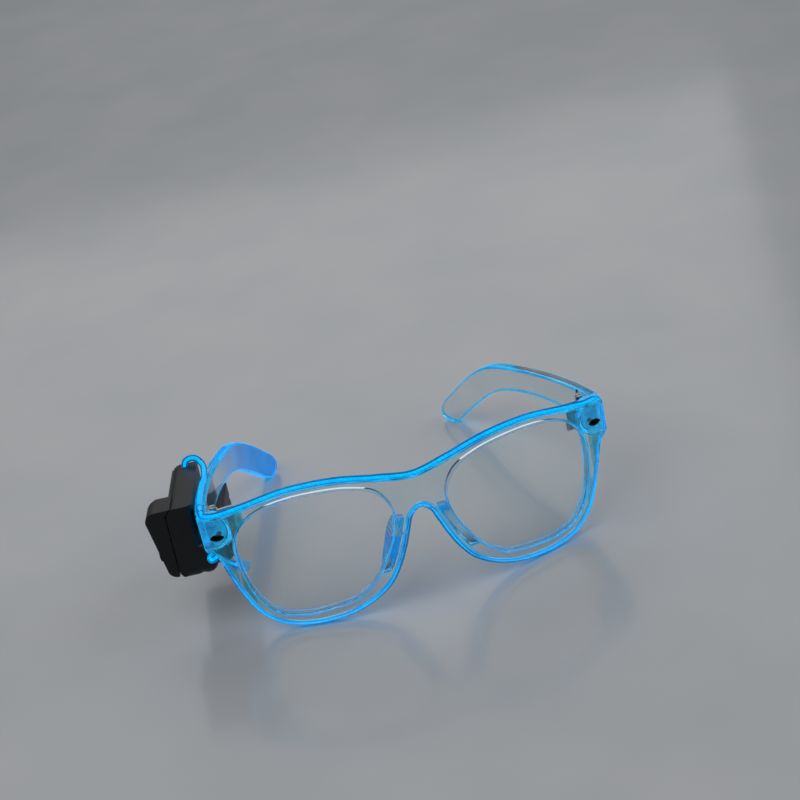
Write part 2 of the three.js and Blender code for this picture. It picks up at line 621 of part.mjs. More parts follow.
// Cap over the driver: leans outwards at the top and is chamfered at its rear outer edge.
// Its shoulder lies over the body's round top edge.
function caseOutline(inset) {
  const inside = outerDepth + fit.gap;
  const low = boxBottom + driverCase.raisedHeight + inset;
  const high = boxTop - inset;
  const out = inside + driverCase.depth - inset;
  const steps = 5;
  const radius = box.cornerRadius - inset;
  const round = (centreOut, centreUp, start) => Array.from({ length: steps + 1 }, (_, i) => {
    const angle = radians(start + 90 * i / steps);
    return [centreOut + radius * Math.cos(angle), centreUp + radius * Math.sin(angle)];
  });
  return [
    [inside, low], ...round(out - driverCase.leanDepth - radius, low + radius, -90),
    ...round(out - radius, high - radius, 0), [inside, high],
  ];
}

const caseLength = box.sectionLength - driverCase.rearGap;
const buttonUp = boxBottom + toggle.rise;
const buttonAlong = box.sectionLength / 2;
// Outer face of the driver case at the button's height.
const buttonFace = outerDepth + fit.gap + driverCase.depth - driverCase.leanDepth * (1 - toggle.rise / boxHeight);

function driverCasePiece() {
  const { chamfer, depth, overlap } = driverCase;
  const inside = outerDepth + fit.gap;
  const outside = boxPrism(caseOutline(0), 0, caseLength);
  const far = inside + depth + fit.overrun;
  const chamferCut = prism([
    [-far, caseLength - chamfer], [-far, caseLength + fit.overrun], [-(far - chamfer - fit.overrun), caseLength + fit.overrun],
  ], 'z', boxBottom - fit.overrun, boxTop + fit.overrun);
  const room = boxPrism(caseOutline(box.wall), box.wall, caseLength - box.wall);
  const roomChamfer = prism([
    [-far, caseLength - chamfer - box.wall], [-far, caseLength + fit.overrun],
    [-(far - chamfer - fit.overrun - box.wall), caseLength + fit.overrun],
  ], 'z', boxBottom - fit.overrun, boxTop + fit.overrun);
  const opened = join(
    cut(room, roomChamfer),
    boxBlock([inside - fit.overrun, box.wall, boxBottom + box.wall + box.cornerRadius],
      [inside + overlap, caseLength - box.wall, boxTop - box.wall - box.cornerRadius]));
  const bodyRound = roundedRectangle(
    [box.floorDepth, boxBottom], [inside, boxTop + fit.gap], box.cornerRadius + fit.gap);
  const shoulder = cut(
    boxBlock([outerDepth - box.cornerRadius, 0, boxTop - box.wall * 1.5], [inside + fit.gap, caseLength, boxTop]),
    boxPrism(bodyRound, -fit.overrun, caseLength + fit.overrun));
  const buttonHole = boxRod(
    [inside, buttonAlong, buttonUp], [far, buttonAlong, buttonUp], button.radius + fit.gap, 20);
  return geometryOf(join(cut(outside, chamferCut, opened, buttonHole), shoulder));
}

const boardBack = floorTop + board.standOff;
const boardFace = boardBack + board.thickness;

function driverBoard() {
  const { margin } = board;
  return geometryOf(boxBlock(
    [boardBack, box.wall + margin, boxBottom + box.wall + margin],
    [boardFace, box.sectionLength - box.wall / 2 - margin, boxTop - box.wall - margin]));
}

function transformerPiece() {
  const up = boxTop - transformer.drop;
  const half = transformer.width / 2;
  const low = boardFace + fit.gap / 2;
  const high = low + transformer.depth;
  const core = boxBlock(
    [low, buttonAlong - half, up - transformer.height / 2], [high, buttonAlong + half, up + transformer.height / 2]);
  const slot = transformer.width / 5;
  const window = (from, to) => boxBlock(
    [low + transformer.depth / 4, from, up - transformer.height / 4],
    [high + fit.overrun, to, up + transformer.height / 4]);
  return geometryOf(cut(core,
    window(buttonAlong - half - fit.overrun, buttonAlong - half + slot),
    window(buttonAlong + half - slot, buttonAlong + half + fit.overrun)));
}

const flangeTop = buttonFace - box.wall * 1.5 - fit.gap * 2;

// The stem stops just short of the button at the end of its travel.
function switchPiece() {
  const half = toggle.width / 2;
  const low = boardFace + fit.gap / 2;
  const stemTop = flangeTop - button.flangeThickness - button.travelLength - fit.gap / 2;
  const body = boxBlock(
    [low, buttonAlong - half, buttonUp - half], [low + toggle.depth, buttonAlong + half, buttonUp + half]);
  const stem = boxRod(
    [low + toggle.depth / 2, buttonAlong, buttonUp], [stemTop, buttonAlong, buttonUp], toggle.stemRadius, 16);
  return geometryOf(join(body, stem));
}

// Cap with a flange that stays behind the case wall.
function buttonPiece() {
  const outer = buttonFace + button.proudHeight;
  const back = flangeTop - button.flangeThickness;
  return geometryOf(join(
    boxRod([back, buttonAlong, buttonUp], [outer, buttonAlong, buttonUp], button.radius, 20),
    boxRod([back, buttonAlong, buttonUp], [flangeTop, buttonAlong, buttonUp], button.flangeRadius, 20)));
}

function cellPiece(order) {
  const low = stackStart + order * (cell.thickness + cell.restGap);
  const step = cell.thickness / 8;
  const body = boxRod([low + step, cellAlong, cellUp], [low + cell.thickness, cellAlong, cellUp], cell.radius, 32);
  const face = boxRod([low, cellAlong, cellUp], [low + step * 2, cellAlong, cellUp], cell.radius - step * 4, 32);
  return geometryOf(join(body, face));
}

// Strip under the stack, bent up at its rear end.
function negativeContact() {
  const low = floorTop + cell.restGap;
  const half = contact.width / 2;
  return geometryOf(boxBlock(
    [low, cellAlong - cell.radius, cellUp - half], [low + contact.thickness, cellAlong + cell.radius / 2, cellUp + half]));
}

// Strip beside the stack, folded over at its foot.
function positiveContact() {
  const low = floorTop + cell.restGap;
  const back = cellAlong - cell.radius - cell.restGap * 2;
  const half = contact.width / 2;
  const wallStrip = boxBlock(
    [low, back - contact.springWidth, cellUp - half], [stackStart + cell.thickness * 1.5, back, cellUp + half]);
  const foot = boxBlock(
    [low, back - contact.springWidth * 3, cellUp - half], [low + contact.springWidth, back, cellUp + half]);
  return geometryOf(join(wallStrip, foot));
}

// Lid over the cells, with grip ridges; it slides back out of the box.
function batteryCover() {
  const { wall, sectionLength } = box;
  const start = sectionLength + wall / 2 + fit.gap;
  const low = boxBottom + wall + fit.gap;
  const high = boxTop - wall - fit.gap;
  const plate = boxBlock([outerDepth - cover.thickness, start, low], [outerDepth, boxLength, high]);
  const reach = cell.radius / 2;
  const ridges = Array.from({ length: cover.ridges }, (_, i) => {
    const along = boxLength - cover.ridgeWidth * (3 + 2 * i);
    return boxBlock(
      [outerDepth - cover.ridgeHeight, along, cellUp - reach],
      [outerDepth + cover.ridgeHeight, along + cover.ridgeWidth, cellUp + reach]);
  });
  return geometryOf(join(plate, ...ridges));
}

// The sealed end of the wire's tail.
function tailCapPiece() {
  const points = frontWirePoints();
  const end = new THREE.Vector3(...points.at(-1));
  const along = end.clone().sub(new THREE.Vector3(...points.at(-2))).normalize();
  const mouth = end.clone().addScaledVector(along, -tailCap.length / 2);
  const tip = end.clone().addScaledVector(along, tailCap.length / 2);
  const hollow = end.clone().addScaledVector(along, fit.gap);
  const before = mouth.clone().addScaledVector(along, -fit.overrun);
  return geometryOf(cut(
    rod(mouth.toArray(), tip.toArray(), tailCap.radius, 16),
    rod(before.toArray(), hollow.toArray(), tailCap.radius - tailCap.wall, 16)));
}

// Materials

const material = (color, roughness, metalness = 0, opacity = 1) => new THREE.MeshStandardMaterial({
  color, roughness, metalness, opacity, transparent: opacity < 1,
});
const clear = () => material(0xdfeef2, 0.08, 0, 0.35);
const glow = () => {
  const lit = material(0x2fc8ff, 0.4);
  lit.emissive = new THREE.Color(0x10b4ff);
  return lit;
};
const metal = () => material(0x2c2f33, 0.25, 1);
const steel = () => material(0xb8bcc0, 0.35, 1);
const blackPlastic = () => material(0x0c0d0f, 0.42);

function mesh(name, geometry, finish) {
  const piece = new THREE.Mesh(geometry, finish);
  piece.name = name;
  return piece;
}

// Assembly

const glasses = new THREE.Group();
glasses.add(
  mesh('front_frame', frontFrame(), clear()),
  mesh('glow_wire_front', tubeGeometry(throughPoints(frontWirePoints()), wire.radius, 150), glow()),
  mesh('glow_wire_hinge', tubeGeometry(throughPoints(flexPoints()), wire.radius, 6), glow()),
  mesh('glow_wire_temple', tubeGeometry(throughPoints(templeWirePoints()), wire.radius, 36), glow()),
  mesh('wire_tail_cap', tailCapPiece(), material(0xbfe4f2, 0.3)),
);
for (const [name, side] of Object.entries(sides)) {
  glasses.add(
    mesh(`lens_${name}`, lensPiece(side), material(0xf2f8fa, 0.03, 0, 0.2)),
    mesh(`stud_${name}`, studPiece(side), metal()),
    mesh(`hinge_front_leaf_${name}`, frontLeaf(side), steel()),
    mesh(`hinge_temple_leaf_${name}`, templeLeaf(side), steel()),
    mesh(`hinge_screw_${name}`, hingeScrew(side), steel()),
    mesh(`temple_${name}`, templePiece(side), clear()),
  );
}

const driverBox = new THREE.Group();
driverBox.applyMatrix4(boxMatrix());
driverBox.add(
  mesh('box_body', boxBody(), blackPlastic()),
  mesh('box_inner_shell', innerShell(), blackPlastic()),
  mesh('driver_case', driverCasePiece(), blackPlastic()),
  mesh('battery_cover', batteryCover(), blackPlastic()),
  mesh('mode_button', buttonPiece(), material(0x1a1c1f, 0.6)),
  mesh('driver_board', driverBoard(), material(0x1d5b3a, 0.5)),
  mesh('driver_transformer', transformerPiece(), material(0xc9a227, 0.5)),
  mesh('tactile_switch', switchPiece(), material(0x2a2a2c, 0.5)),
  mesh('coin_cell_inner', cellPiece(0), steel()),
  mesh('coin_cell_outer', cellPiece(1), steel()),
  mesh('contact_negative', negativeContact(), material(0xc8b27a, 0.3, 1)),
  mesh('contact_positive', positiveContact(), material(0xc8b27a, 0.3, 1)),
);
for (const [name, along] of Object.entries(screwPlaces)) {
  driverBox.add(mesh(`case_screw_${name}`, caseScrew(along), steel()));
}
glasses.add(driverBox);

// The origin goes to the centre of the footprint.
glasses.updateMatrixWorld(true);
const bounds = new THREE.Box3().setFromObject(glasses, true);
const centre = bounds.getCenter(new THREE.Vector3());
glasses.position.set(-centre.x, -centre.y, -bounds.min.z);

export default glasses;
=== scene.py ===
"""Light up party glasses: a clear front and temples edged with a glowing wire, and a driver box.

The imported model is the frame. Places are worked out in its own millimetre drawing, whose origin
is the middle of the front's outer face, and moved into the frame by the datum found from the nodes.
"""

import logging
import math
from contextlib import contextmanager
from dataclasses import dataclass, field
from enum import Enum
from typing import Iterable, Iterator, Sequence

import bpy
from mathutils import Matrix, Vector


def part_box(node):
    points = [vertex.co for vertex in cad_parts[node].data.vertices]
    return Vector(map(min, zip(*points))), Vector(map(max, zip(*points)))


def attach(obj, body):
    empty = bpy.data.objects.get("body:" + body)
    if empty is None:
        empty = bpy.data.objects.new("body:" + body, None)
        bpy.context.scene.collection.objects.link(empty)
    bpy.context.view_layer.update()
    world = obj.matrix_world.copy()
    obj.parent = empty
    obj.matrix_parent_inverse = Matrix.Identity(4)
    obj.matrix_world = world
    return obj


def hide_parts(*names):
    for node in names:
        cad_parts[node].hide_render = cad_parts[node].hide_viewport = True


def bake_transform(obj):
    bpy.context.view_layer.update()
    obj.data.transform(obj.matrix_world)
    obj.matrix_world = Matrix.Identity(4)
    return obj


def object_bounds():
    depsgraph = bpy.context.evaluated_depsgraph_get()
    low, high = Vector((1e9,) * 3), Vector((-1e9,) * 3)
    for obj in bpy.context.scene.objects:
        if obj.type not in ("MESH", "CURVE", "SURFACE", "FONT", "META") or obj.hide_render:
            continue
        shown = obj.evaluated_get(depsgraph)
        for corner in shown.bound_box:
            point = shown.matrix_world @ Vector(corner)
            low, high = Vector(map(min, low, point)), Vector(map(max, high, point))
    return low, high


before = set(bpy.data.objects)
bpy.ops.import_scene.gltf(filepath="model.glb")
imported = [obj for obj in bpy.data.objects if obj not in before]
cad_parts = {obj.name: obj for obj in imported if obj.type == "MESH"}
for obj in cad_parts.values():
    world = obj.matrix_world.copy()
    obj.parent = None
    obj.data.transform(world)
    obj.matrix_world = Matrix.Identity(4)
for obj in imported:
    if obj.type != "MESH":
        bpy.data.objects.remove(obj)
CAD_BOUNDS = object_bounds()

MM = 0.001
LOG = logging.getLogger("glasses")

Point = tuple[float, float, float]
Flat = tuple[float, float]
Piece = bpy.types.Object
Tree = bpy.types.NodeTree
Socket = bpy.types.NodeSocket


class Side(Enum):
    """The two sides of the glasses, as the sign of X in the drawing."""

    RIGHT = -1
    LEFT = 1


class Body(Enum):
    """The moving bodies that pieces ride on."""

    FRONT = "front"
    RIGHT_TEMPLE = "right_temple"
    LEFT_TEMPLE = "left_temple"
    COVER = "cover"
    BUTTON = "button"


TEMPLE_BODIES = {Side.RIGHT: Body.RIGHT_TEMPLE, Side.LEFT: Body.LEFT_TEMPLE}


# Sizes that several sub-assemblies share, in the drawing's millimetres and degrees


@dataclass(frozen=True)
class FrontSizes:
    """The curved front. half_width runs along the curve from the nose to an end piece's edge."""

    half_width: float = 73.2
    height: float = 53.4
    plan_radius: float = 157
    thickness: float = 4
    block_depth: float = 4.75
    block_height: float = 13
    block_width: float = 10.6
    block_corner: float = 1.2
    block_top_share: float = 0.865
    brow_shares: tuple[Flat, ...] = (
        (0, 0.911), (0.164, 0.951), (0.355, 1), (0.574, 0.994), (0.792, 0.92), (0.905, 0.88), (0.975, 0.867),
    )
    lower_shares: tuple[Flat, ...] = (
        (0.951, 0.578), (0.92, 0.45), (0.882, 0.305), (0.826, 0.155), (0.74, 0.062), (0.628, 0.025),
        (0.505, 0.027), (0.396, 0.054), (0.294, 0.112), (0.208, 0.2), (0.15, 0.315), (0.111, 0.43),
        (0.08, 0.545), (0.049, 0.645), (0, 0.688),
    )
    lens_shares: tuple[Flat, ...] = (
        (0.864, 0.548), (0.853, 0.69), (0.795, 0.812), (0.697, 0.894), (0.574, 0.936), (0.437, 0.945),
        (0.307, 0.926), (0.189, 0.861), (0.131, 0.718), (0.148, 0.548), (0.202, 0.388), (0.266, 0.254),
        (0.362, 0.151), (0.492, 0.113), (0.628, 0.099), (0.742, 0.14), (0.814, 0.258), (0.85, 0.4),
    )

    def at(self, along: float, depth: float, height: float) -> Point:
        """A place on the curved front.

        Args:
            along: distance from the nose along the front's curve.
            depth: distance behind the outer face.
            height: height above the surface that the glasses stand on.

        Returns:
            The place in the drawing.
        """
        angle = along / self.plan_radius
        radius = self.plan_radius - depth
        return (radius * math.sin(angle), self.plan_radius - radius * math.cos(angle), height)

    @property
    def side_edge(self) -> float:
        """X of an end piece's outer edge."""
        return self.at(self.half_width, 0, 0)[0]

    @property
    def edge_depth(self) -> float:
        """Y of an end piece's outer edge."""
        return self.at(self.half_width, 0, 0)[1]

    @property
    def block_top(self) -> float:
        """Height of the top of an end piece."""
        return self.block_top_share * self.height

    @property
    def block_bottom(self) -> float:
        """Height of the bottom of an end piece."""
        return self.block_top - self.block_height

    @property
    def block_back(self) -> float:
        """Y of the back of an end piece."""
        return self.edge_depth + self.block_depth


@dataclass(frozen=True)
class TempleSizes:
    """A temple: bowed in plan, with a sloping top edge."""

    thickness: float = 4
    toe: float = 4
    bow_radius: float = 180
    drop: float = 0.2
    slope: float = 11.5
    length: float = 93.5
    gap: float = 0.3
    shares: tuple[Flat, ...] = (
        (0, 1), (0.2, 0.912), (0.42, 0.818), (0.6, 0.74), (0.7, 0.685), (0.78, 0.6), (0.86, 0.46),
        (0.94, 0.28), (0.985, 0.165), (1, 0.082), (0.985, 0.021), (0.955, 0.002), (0.925, 0.032),
        (0.87, 0.14), (0.79, 0.3), (0.71, 0.43), (0.62, 0.51), (0.42, 0.598), (0.2, 0.67), (0, 0.75),
    )


@dataclass(frozen=True)
class BoxSizes:
    """The driver box, in its own axes: outwards, back along the temple, and up."""

    start_gap: float = 5
    heading: float = 9
    above_temple: float = 1.5
    floor_depth: float = 2.6
    wall: float = 1.2
    length: float = 46
    height: float = 25
    screw_margin: float = 5.4


FRONT = FrontSizes()
TEMPLE = TempleSizes()
BOX = BoxSizes()
TEMPLE_START = FRONT.block_back + TEMPLE.gap
TEMPLE_CENTRE = FRONT.side_edge - TEMPLE.thickness / 2
TEMPLE_TOP = FRONT.block_top - TEMPLE.drop
# The hinges' middle below an end piece's top, and the height of the stacked barrels.
HINGE_DROP = 6.3
BARREL_STACK = 10.2


def temple_place(side: Side, distance: float, out: float = 0) -> Flat:
    """A place on a temple's centre line, seen from above.

    Args:
        side: the temple.
        distance: distance behind its butt, along the temple.
        out: distance outwards from the centre line.

    Returns:
        X and Y in the drawing.
    """
    toe = math.radians(TEMPLE.toe)
    heading = toe + distance / TEMPLE.bow_radius
    x = TEMPLE_CENTRE - TEMPLE.bow_radius * (math.cos(toe) - math.cos(heading))
    y = TEMPLE_START + TEMPLE.bow_radius * (math.sin(heading) - math.sin(toe))
    return side.value * (x + out * math.cos(heading)), y + out * math.sin(heading)


def temple_top(y: float) -> float:
    """Height of a temple's top edge at a place along Y."""
    return TEMPLE_TOP - math.tan(math.radians(TEMPLE.slope)) * (y - TEMPLE_START)


def find_datum() -> Vector:
    """The shift from the drawing to the frame, found from nodes whose place is known.

    Returns:
        The shift, in metres.
    """
    low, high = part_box("front_frame")
    screw_foot = FRONT.block_top - HINGE_DROP - BARREL_STACK / 2
    return Vector(((low.x + high.x) / 2, low.y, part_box("hinge_screw_left")[0].z - screw_foot * MM))


DATUM = find_datum()


def placed(point: Iterable[float]) -> Vector:
    """A point of the drawing, in the frame's metres."""
    return Vector(point) * MM + DATUM


def box_axes() -> Matrix:
    """The driver box's axes in the frame: -X outwards, +Y back along the temple, +Z up.

    Returns:
        The matrix that takes a point from the box's axes into the frame.
    """
    x, y = temple_place(Side.RIGHT, BOX.start_gap)
    heading = Matrix.Rotation(math.radians(-BOX.heading), 4, "Z")
    slope = Matrix.Rotation(math.radians(-TEMPLE.slope), 4, "X")
    return Matrix.Translation(placed((x, y, temple_top(y)))) @ (heading @ slope)


BOX_AXES = box_axes()


def in_box(out: float, along: float, up: float) -> Vector:
    """A point given in the driver box's own axes, in the frame's metres."""
    return BOX_AXES @ Vector((-out * MM, along * MM, up * MM))


# Finishes


class Grain(Enum):
    """What breaks up a surface, as the node that draws it."""

    SPECKLE = "TexNoise"
    BANDS = "TexWave"
    CELLS = "TexVoronoi"


CLEAR_TINT = "f4fbff"
BUMP_STRENGTH = 0.6
RAMP_ENDS = (0.3, 0.7)


def linear(colour: str) -> tuple[float, float, float, float]:
    """Turns an sRGB hex colour to linear light.

    Args:
        colour: six hex digits.

    Returns:
        Red, green, blue and alpha.
    """
    parts = [int(colour[i:i + 2], 16) / 255 for i in (0, 2, 4)]
    straight = [c / 12.92 if c <= 0.04045 else ((c + 0.055) / 1.055) ** 2.4 for c in parts]
    return straight[0], straight[1], straight[2], 1.0


def set_inputs(tree: Tree, node: bpy.types.Node, inputs: dict) -> None:
    """Sets a node's inputs by name.

    Args:
        tree: the node tree.
        node: the node.
        inputs: for each input's name, a value or another node's output.
    """
    for name, value in inputs.items():
        if isinstance(value, Socket):
            tree.links.new(value, node.inputs[name])
        else:
            node.inputs[name].default_value = value


def add_node(tree: Tree, kind: str, output: str, inputs: dict, **settings: object) -> Socket:
    """Adds one node to a material.

    Args:
        tree: the material's node tree.
        kind: the node's type, without the words ShaderNode.
        output: name of the output that is wanted.
        inputs: for each input's name, a value or another node's output.
        **settings: the node's own settings.

    Returns:
        The new node's output.
    """
    node = tree.nodes.new(f"ShaderNode{kind}")
    for name, value in settings.items():
        setattr(node, name, value)
    set_inputs(tree, node, inputs)
    return node.outputs[output]


@dataclass(frozen=True)
class Finish:
    """One surface: its two tones, its grain at a real size in millimetres, and how it takes the light.

    glow gives two tones and a strength of emission, and glow_fade the Y in millimetres where the painted glow
    and its blue colour start and are full.
    """

    name: str
    colour: str
    shade: str
    roughness: Flat
    grain: float
    bump: float = 0.0
    kind: Grain = Grain.SPECKLE
    stretch: Point = (1, 1, 1)
    metallic: float = 0.0
    ior: float = 1.5
    transmission: float = 0.0
    coat: float = 0.0
    glow: tuple[str, str, float] | None = None
    glow_fade: Flat | None = None

    def build(self) -> bpy.types.Material:
        """Makes the material, or gives the one already made.

        Returns:
            The material.
        """
        made = bpy.data.materials.get(self.name)
        if made:
            return made
        material = bpy.data.materials.new(self.name)
        material.use_nodes = True
        tree = material.node_tree
        place = add_node(tree, "TexCoord", "Object", {})
        turned = add_node(tree, "Mapping", "Vector", {"Vector": place, "Scale": self.stretch})
        drawn = add_node(
            tree, self.kind.value, "Distance" if self.kind is Grain.CELLS else "Fac",
            {"Vector": turned, "Scale": 1 / (self.grain * MM)})
        looks = {
            "Base Color": self.ramp(tree, drawn, self.colour, self.shade),
            "Roughness": add_node(tree, "MapRange", "Result", {
                "Value": drawn, "To Min": self.roughness[0], "To Max": self.roughness[1]}),
            "Metallic": self.metallic, "IOR": self.ior,
            "Transmission Weight": self.transmission, "Coat Weight": self.coat,
        }
        if self.bump:
            looks["Normal"] = add_node(tree, "Bump", "Normal", {
                "Height": drawn, "Distance": self.bump * MM, "Strength": BUMP_STRENGTH})
        if self.glow:
            looks["Emission Color"] = self.ramp(tree, drawn, *self.glow[:2])
            looks["Emission Strength"] = self.glow[2]
        # Painted glow along Y: the base colour turns from clear to the lit blue, and emission rises from none
        # to full.
        if self.glow_fade:
            start, end = self.glow_fade
            along = add_node(tree, "SeparateXYZ", "Y", {"Vector": place})
            share = add_node(
                tree, "MapRange", "Result", {"Value": along, "From Min": start * MM, "From Max": end * MM},
                interpolation_type="SMOOTHSTEP")
            looks["Base Color"] = add_node(tree, "MixRGB", "Color", {
                "Fac": share, "Color1": linear(CLEAR_TINT), "Color2": looks["Base Color"]})
            looks["Emission Strength"] = add_node(
                tree, "MapRange", "Result", {"Value": share, "To Max": self.glow[2]})
        set_inputs(tree, tree.nodes["Principled BSDF"], looks)
        return material

    @staticmethod
    def ramp(tree: Tree, value: Socket, first: str, last: str) -> Socket:
        """Turns a grain's value into a colour between two tones.

        Args:
            tree: the material's node tree.
            value: the grain's output.
            first: hex colour at the low end.
            last: hex colour at the high end.

        Returns:
            The colour output.
        """
        colour = add_node(tree, "ValToRGB", "Color", {"Fac": value})
        for end, position, tone in zip(colour.node.color_ramp.elements, RAMP_ENDS, (first, last)):
            end.position, end.color = position, linear(tone)
        return colour


# Clear polycarbonate, injection moulded and polished: water clear, with faint flow waves.
CLEAR = Finish(
    "moulded clear polycarbonate", CLEAR_TINT, "e6f4fb", (0.01, 0.04), grain=9, bump=0.02,
    ior=1.585, transmission=1.0)
# The same polycarbonate where its rounded edges carry the wire's light, painted as blue colour and glow: thin
# bright lines.
LIT_EDGE = Finish(
    "edge-lit polycarbonate", "5cd0ff", "2cacec", (0.05, 0.12), grain=7, ior=1.585, transmission=0.75,
    glow=("00b4e4", "0090cc", 0.48))
# Thick end pieces gather the light: painted as glow and an aqua colour all through.
LIT_BLOCK = Finish(
    "aqua-lit polycarbonate", "70d0d8", "30a0c0", (0.02, 0.08), grain=1.7, bump=0.12, ior=1.585,
    transmission=0.95, glow=("008898", "006080", 0.16))
# Nose pads: the light that runs down them is painted as streaks of pale blue colour and glow.
LIT_PAD = Finish(
    "streaked edge-lit polycarbonate", "a4dcf4", "58b0e0", (0.04, 0.14), grain=2.2, bump=0.04,
    kind=Grain.BANDS, stretch=(1, 0.5, 0.12), ior=1.585, transmission=0.95, glow=("0088b0", "006490", 0.16))
# Ends of the pads gather more of the light: painted as a deep, even blue colour and glow.
LIT_CORE = Finish(
    "deep edge-lit polycarbonate", "0a78c4", "0664b0", (0.1, 0.2), grain=5, ior=1.585, transmission=0.2,
    glow=("0088c4", "0074b0", 0.62))
# Right temple: clear at the hinge, and painted with blue colour and glow for the wire's light towards its
# downturned end.
LIT_TEMPLE = Finish(
    "blue-lit polycarbonate", "3ca8f0", "1c88dc", (0.02, 0.08), grain=9, bump=0.02, ior=1.585,
    transmission=0.95, glow=("0084d0", "006cb8", 0.3), glow_fade=(-2, 48))
# Soft PVC sheath of the wire, extruded: translucent blue with a waxy gloss.
SHEATH = Finish(
    "extruded translucent PVC", "0c94cc", "067cb4", (0.16, 0.26), grain=2.4, bump=0.02, ior=1.2,
    transmission=0.8, glow=("0094c8", "007cb0", 0.2))
# Phosphor layer under the sheath: the bright line along the wire's middle.
PHOSPHOR = Finish(
    "electroluminescent phosphor", "38c8ff", "20b4ff", (0.5, 0.6), grain=1.2,
    glow=("28e0ff", "14d0ff", 1.6))
# Hair-fine tinned wire wound round the core. The real 0.5 mm pitch is drawn at 1.5 mm to show.
HAIR_WIRE = Finish(
    "tinned copper hair wire", "b4c4cc", "94a4ae", (0.25, 0.4), grain=0.3, metallic=1.0)
# Silicone sleeve that seals the wire's end: milky and soft, with a painted blue glow for the wire's light
# inside it.
SLEEVE = Finish(
    "moulded silicone", "bfe6f5", "9fd4ec", (0.35, 0.5), grain=1.1, bump=0.02, transmission=0.5, ior=1.41,
    glow=("1a9cd0", "0f80b0", 0.22))
# Hard-coated polycarbonate lens: almost invisible, with a cool reflection.
LENS = Finish(
    "hard-coated polycarbonate lens", "fbfdfe", "f4fafc", (0.0, 0.02), grain=22, ior=1.5, transmission=1.0,
    coat=0.35)
# Black chrome on zinc, polished: near-black mirror with small handling marks.
DARK_CHROME = Finish(
    "polished black chrome", "17191c", "0c0d0f", (0.08, 0.2), grain=1.6, bump=0.01, metallic=1.0)
# Nickel-plated steel, tumbled: warm grey with fine brushing along the leaf.
NICKEL = Finish(
    "nickel-plated steel", "bcc2c8", "8e959c", (0.22, 0.38), grain=0.5, bump=0.015, stretch=(1, 1, 0.12),
    metallic=1.0)
# Black ABS from a spark-eroded mould: fine pebbled satin. The 0.1 mm grit is drawn at 0.5 mm to show.
BLACK_ABS = Finish(
    "spark-eroded black ABS", "08090c", "050608", (0.38, 0.54), grain=0.5, bump=0.06, ior=1.54)
# Silicone rubber button: matt, and a little lighter than the case.
RUBBER = Finish("moulded silicone rubber", "1d1e21", "131416", (0.62, 0.78), grain=0.4, bump=0.03, ior=1.41)
# Glass-epoxy board under green solder mask: glossy over the faint pattern of the copper.
SOLDER_MASK = Finish(
    "solder-masked glass epoxy", "14603a", "0a4327", (0.22, 0.36), grain=2.2, bump=0.035, kind=Grain.CELLS,
    coat=0.4)
# Polyester tape wound round the transformer: glossy amber with an edge at each turn.
TAPE = Finish(
    "wound polyester tape", "d9a521", "b98410", (0.2, 0.34), grain=3.2, bump=0.05, kind=Grain.BANDS)
# Glass-filled nylon of the switch: dark and dry.
SWITCH = Finish("glass-filled nylon", "26272a", "1a1b1d", (0.5, 0.66), grain=0.3, bump=0.02)
# Stainless cell can, pressed and spun: bright with fine streaks.
CELL_CAN = Finish(
    "pressed stainless steel", "d2d3d4", "aeb0b2", (0.16, 0.3), grain=0.6, stretch=(0.2, 1, 1), metallic=1.0)
# Phosphor bronze strip, tin plated: pale gold with rolling marks.
BRONZE = Finish(
    "plated phosphor bronze", "cdb27a", "a88d55", (0.2, 0.34), grain=0.4, stretch=(1, 0.15, 1), metallic=1.0)
# Pale studio card: matt with a light sheen, so that the glow lies on it.
CARD = Finish("satin studio card", "e2e4e6", "dadde0", (0.14, 0.18), grain=60, ior=1.5)


# Modelling: angles in degrees and distances in millimetres that every piece shares

SMOOTH_BELOW = 36
TUBE_SMOOTH_BELOW = 50
SHARP_FROM = 40
FLAT_WITHIN = 0.5
SPUN_FLAT_WITHIN = 0.1
DOUBLES_WITHIN = 0.015
COPY_DOUBLES_WITHIN = 0.04
SLIVER = 0.002
ROUND_STEPS = 2


def add_object(name: str, data: bpy.types.ID) -> Piece:
    """Puts a new object into the scene.

    Args:
        name: name of the object.
        data: its mesh, curve, light or camera.

    Returns:
        The object.
    """
    piece = bpy.data.objects.new(name, data)
    bpy.context.scene.collection.objects.link(piece)
    return piece


def select_only(piece: Piece) -> None:
    """Makes one object the only selected one, and active.

    Args:
        piece: the object.
    """
    bpy.ops.object.select_all(action="DESELECT")
    piece.select_set(True)
    bpy.context.view_layer.objects.active = piece


def settle(piece: Piece) -> None:
    """Moves an object's place, turn and scale into its mesh."""
    select_only(piece)
    bpy.ops.object.transform_apply(location=True, rotation=True, scale=True)


def apply_modifiers(piece: Piece) -> None:
    """Applies every modifier of an object, in order.

    Args:
        piece: the object.
    """
    select_only(piece)
    for modifier in list(piece.modifiers):
        bpy.ops.object.modifier_apply(modifier=modifier.name)


@contextmanager
def editing(piece: Piece) -> Iterator[None]:
    """Edit mode on one object, with all of its mesh selected.

    Args:
        piece: the mesh object.

    Returns:
        A context that edit mode lasts for.
    """
    select_only(piece)
    bpy.ops.object.mode_set(mode="EDIT")
    bpy.ops.mesh.select_all(action="SELECT")
    yield
    bpy.ops.object.mode_set(mode="OBJECT")


def smooth(piece: Piece, angle: float = SMOOTH_BELOW) -> None:
    """Shades an object smooth, except across sharp edges, and keeps flats flat.

    Args:
        piece: the mesh object.
        angle: sharpness from which an edge stays sharp.
    """
    select_only(piece)
    bpy.ops.object.shade_smooth_by_angle(angle=math.radians(angle))
    piece.modifiers.new("even shading", "WEIGHTED_NORMAL").keep_sharp = True
    apply_modifiers(piece)


class Operation(Enum):
    """How a second solid changes a piece."""

    JOIN = "UNION"
    CUT = "DIFFERENCE"


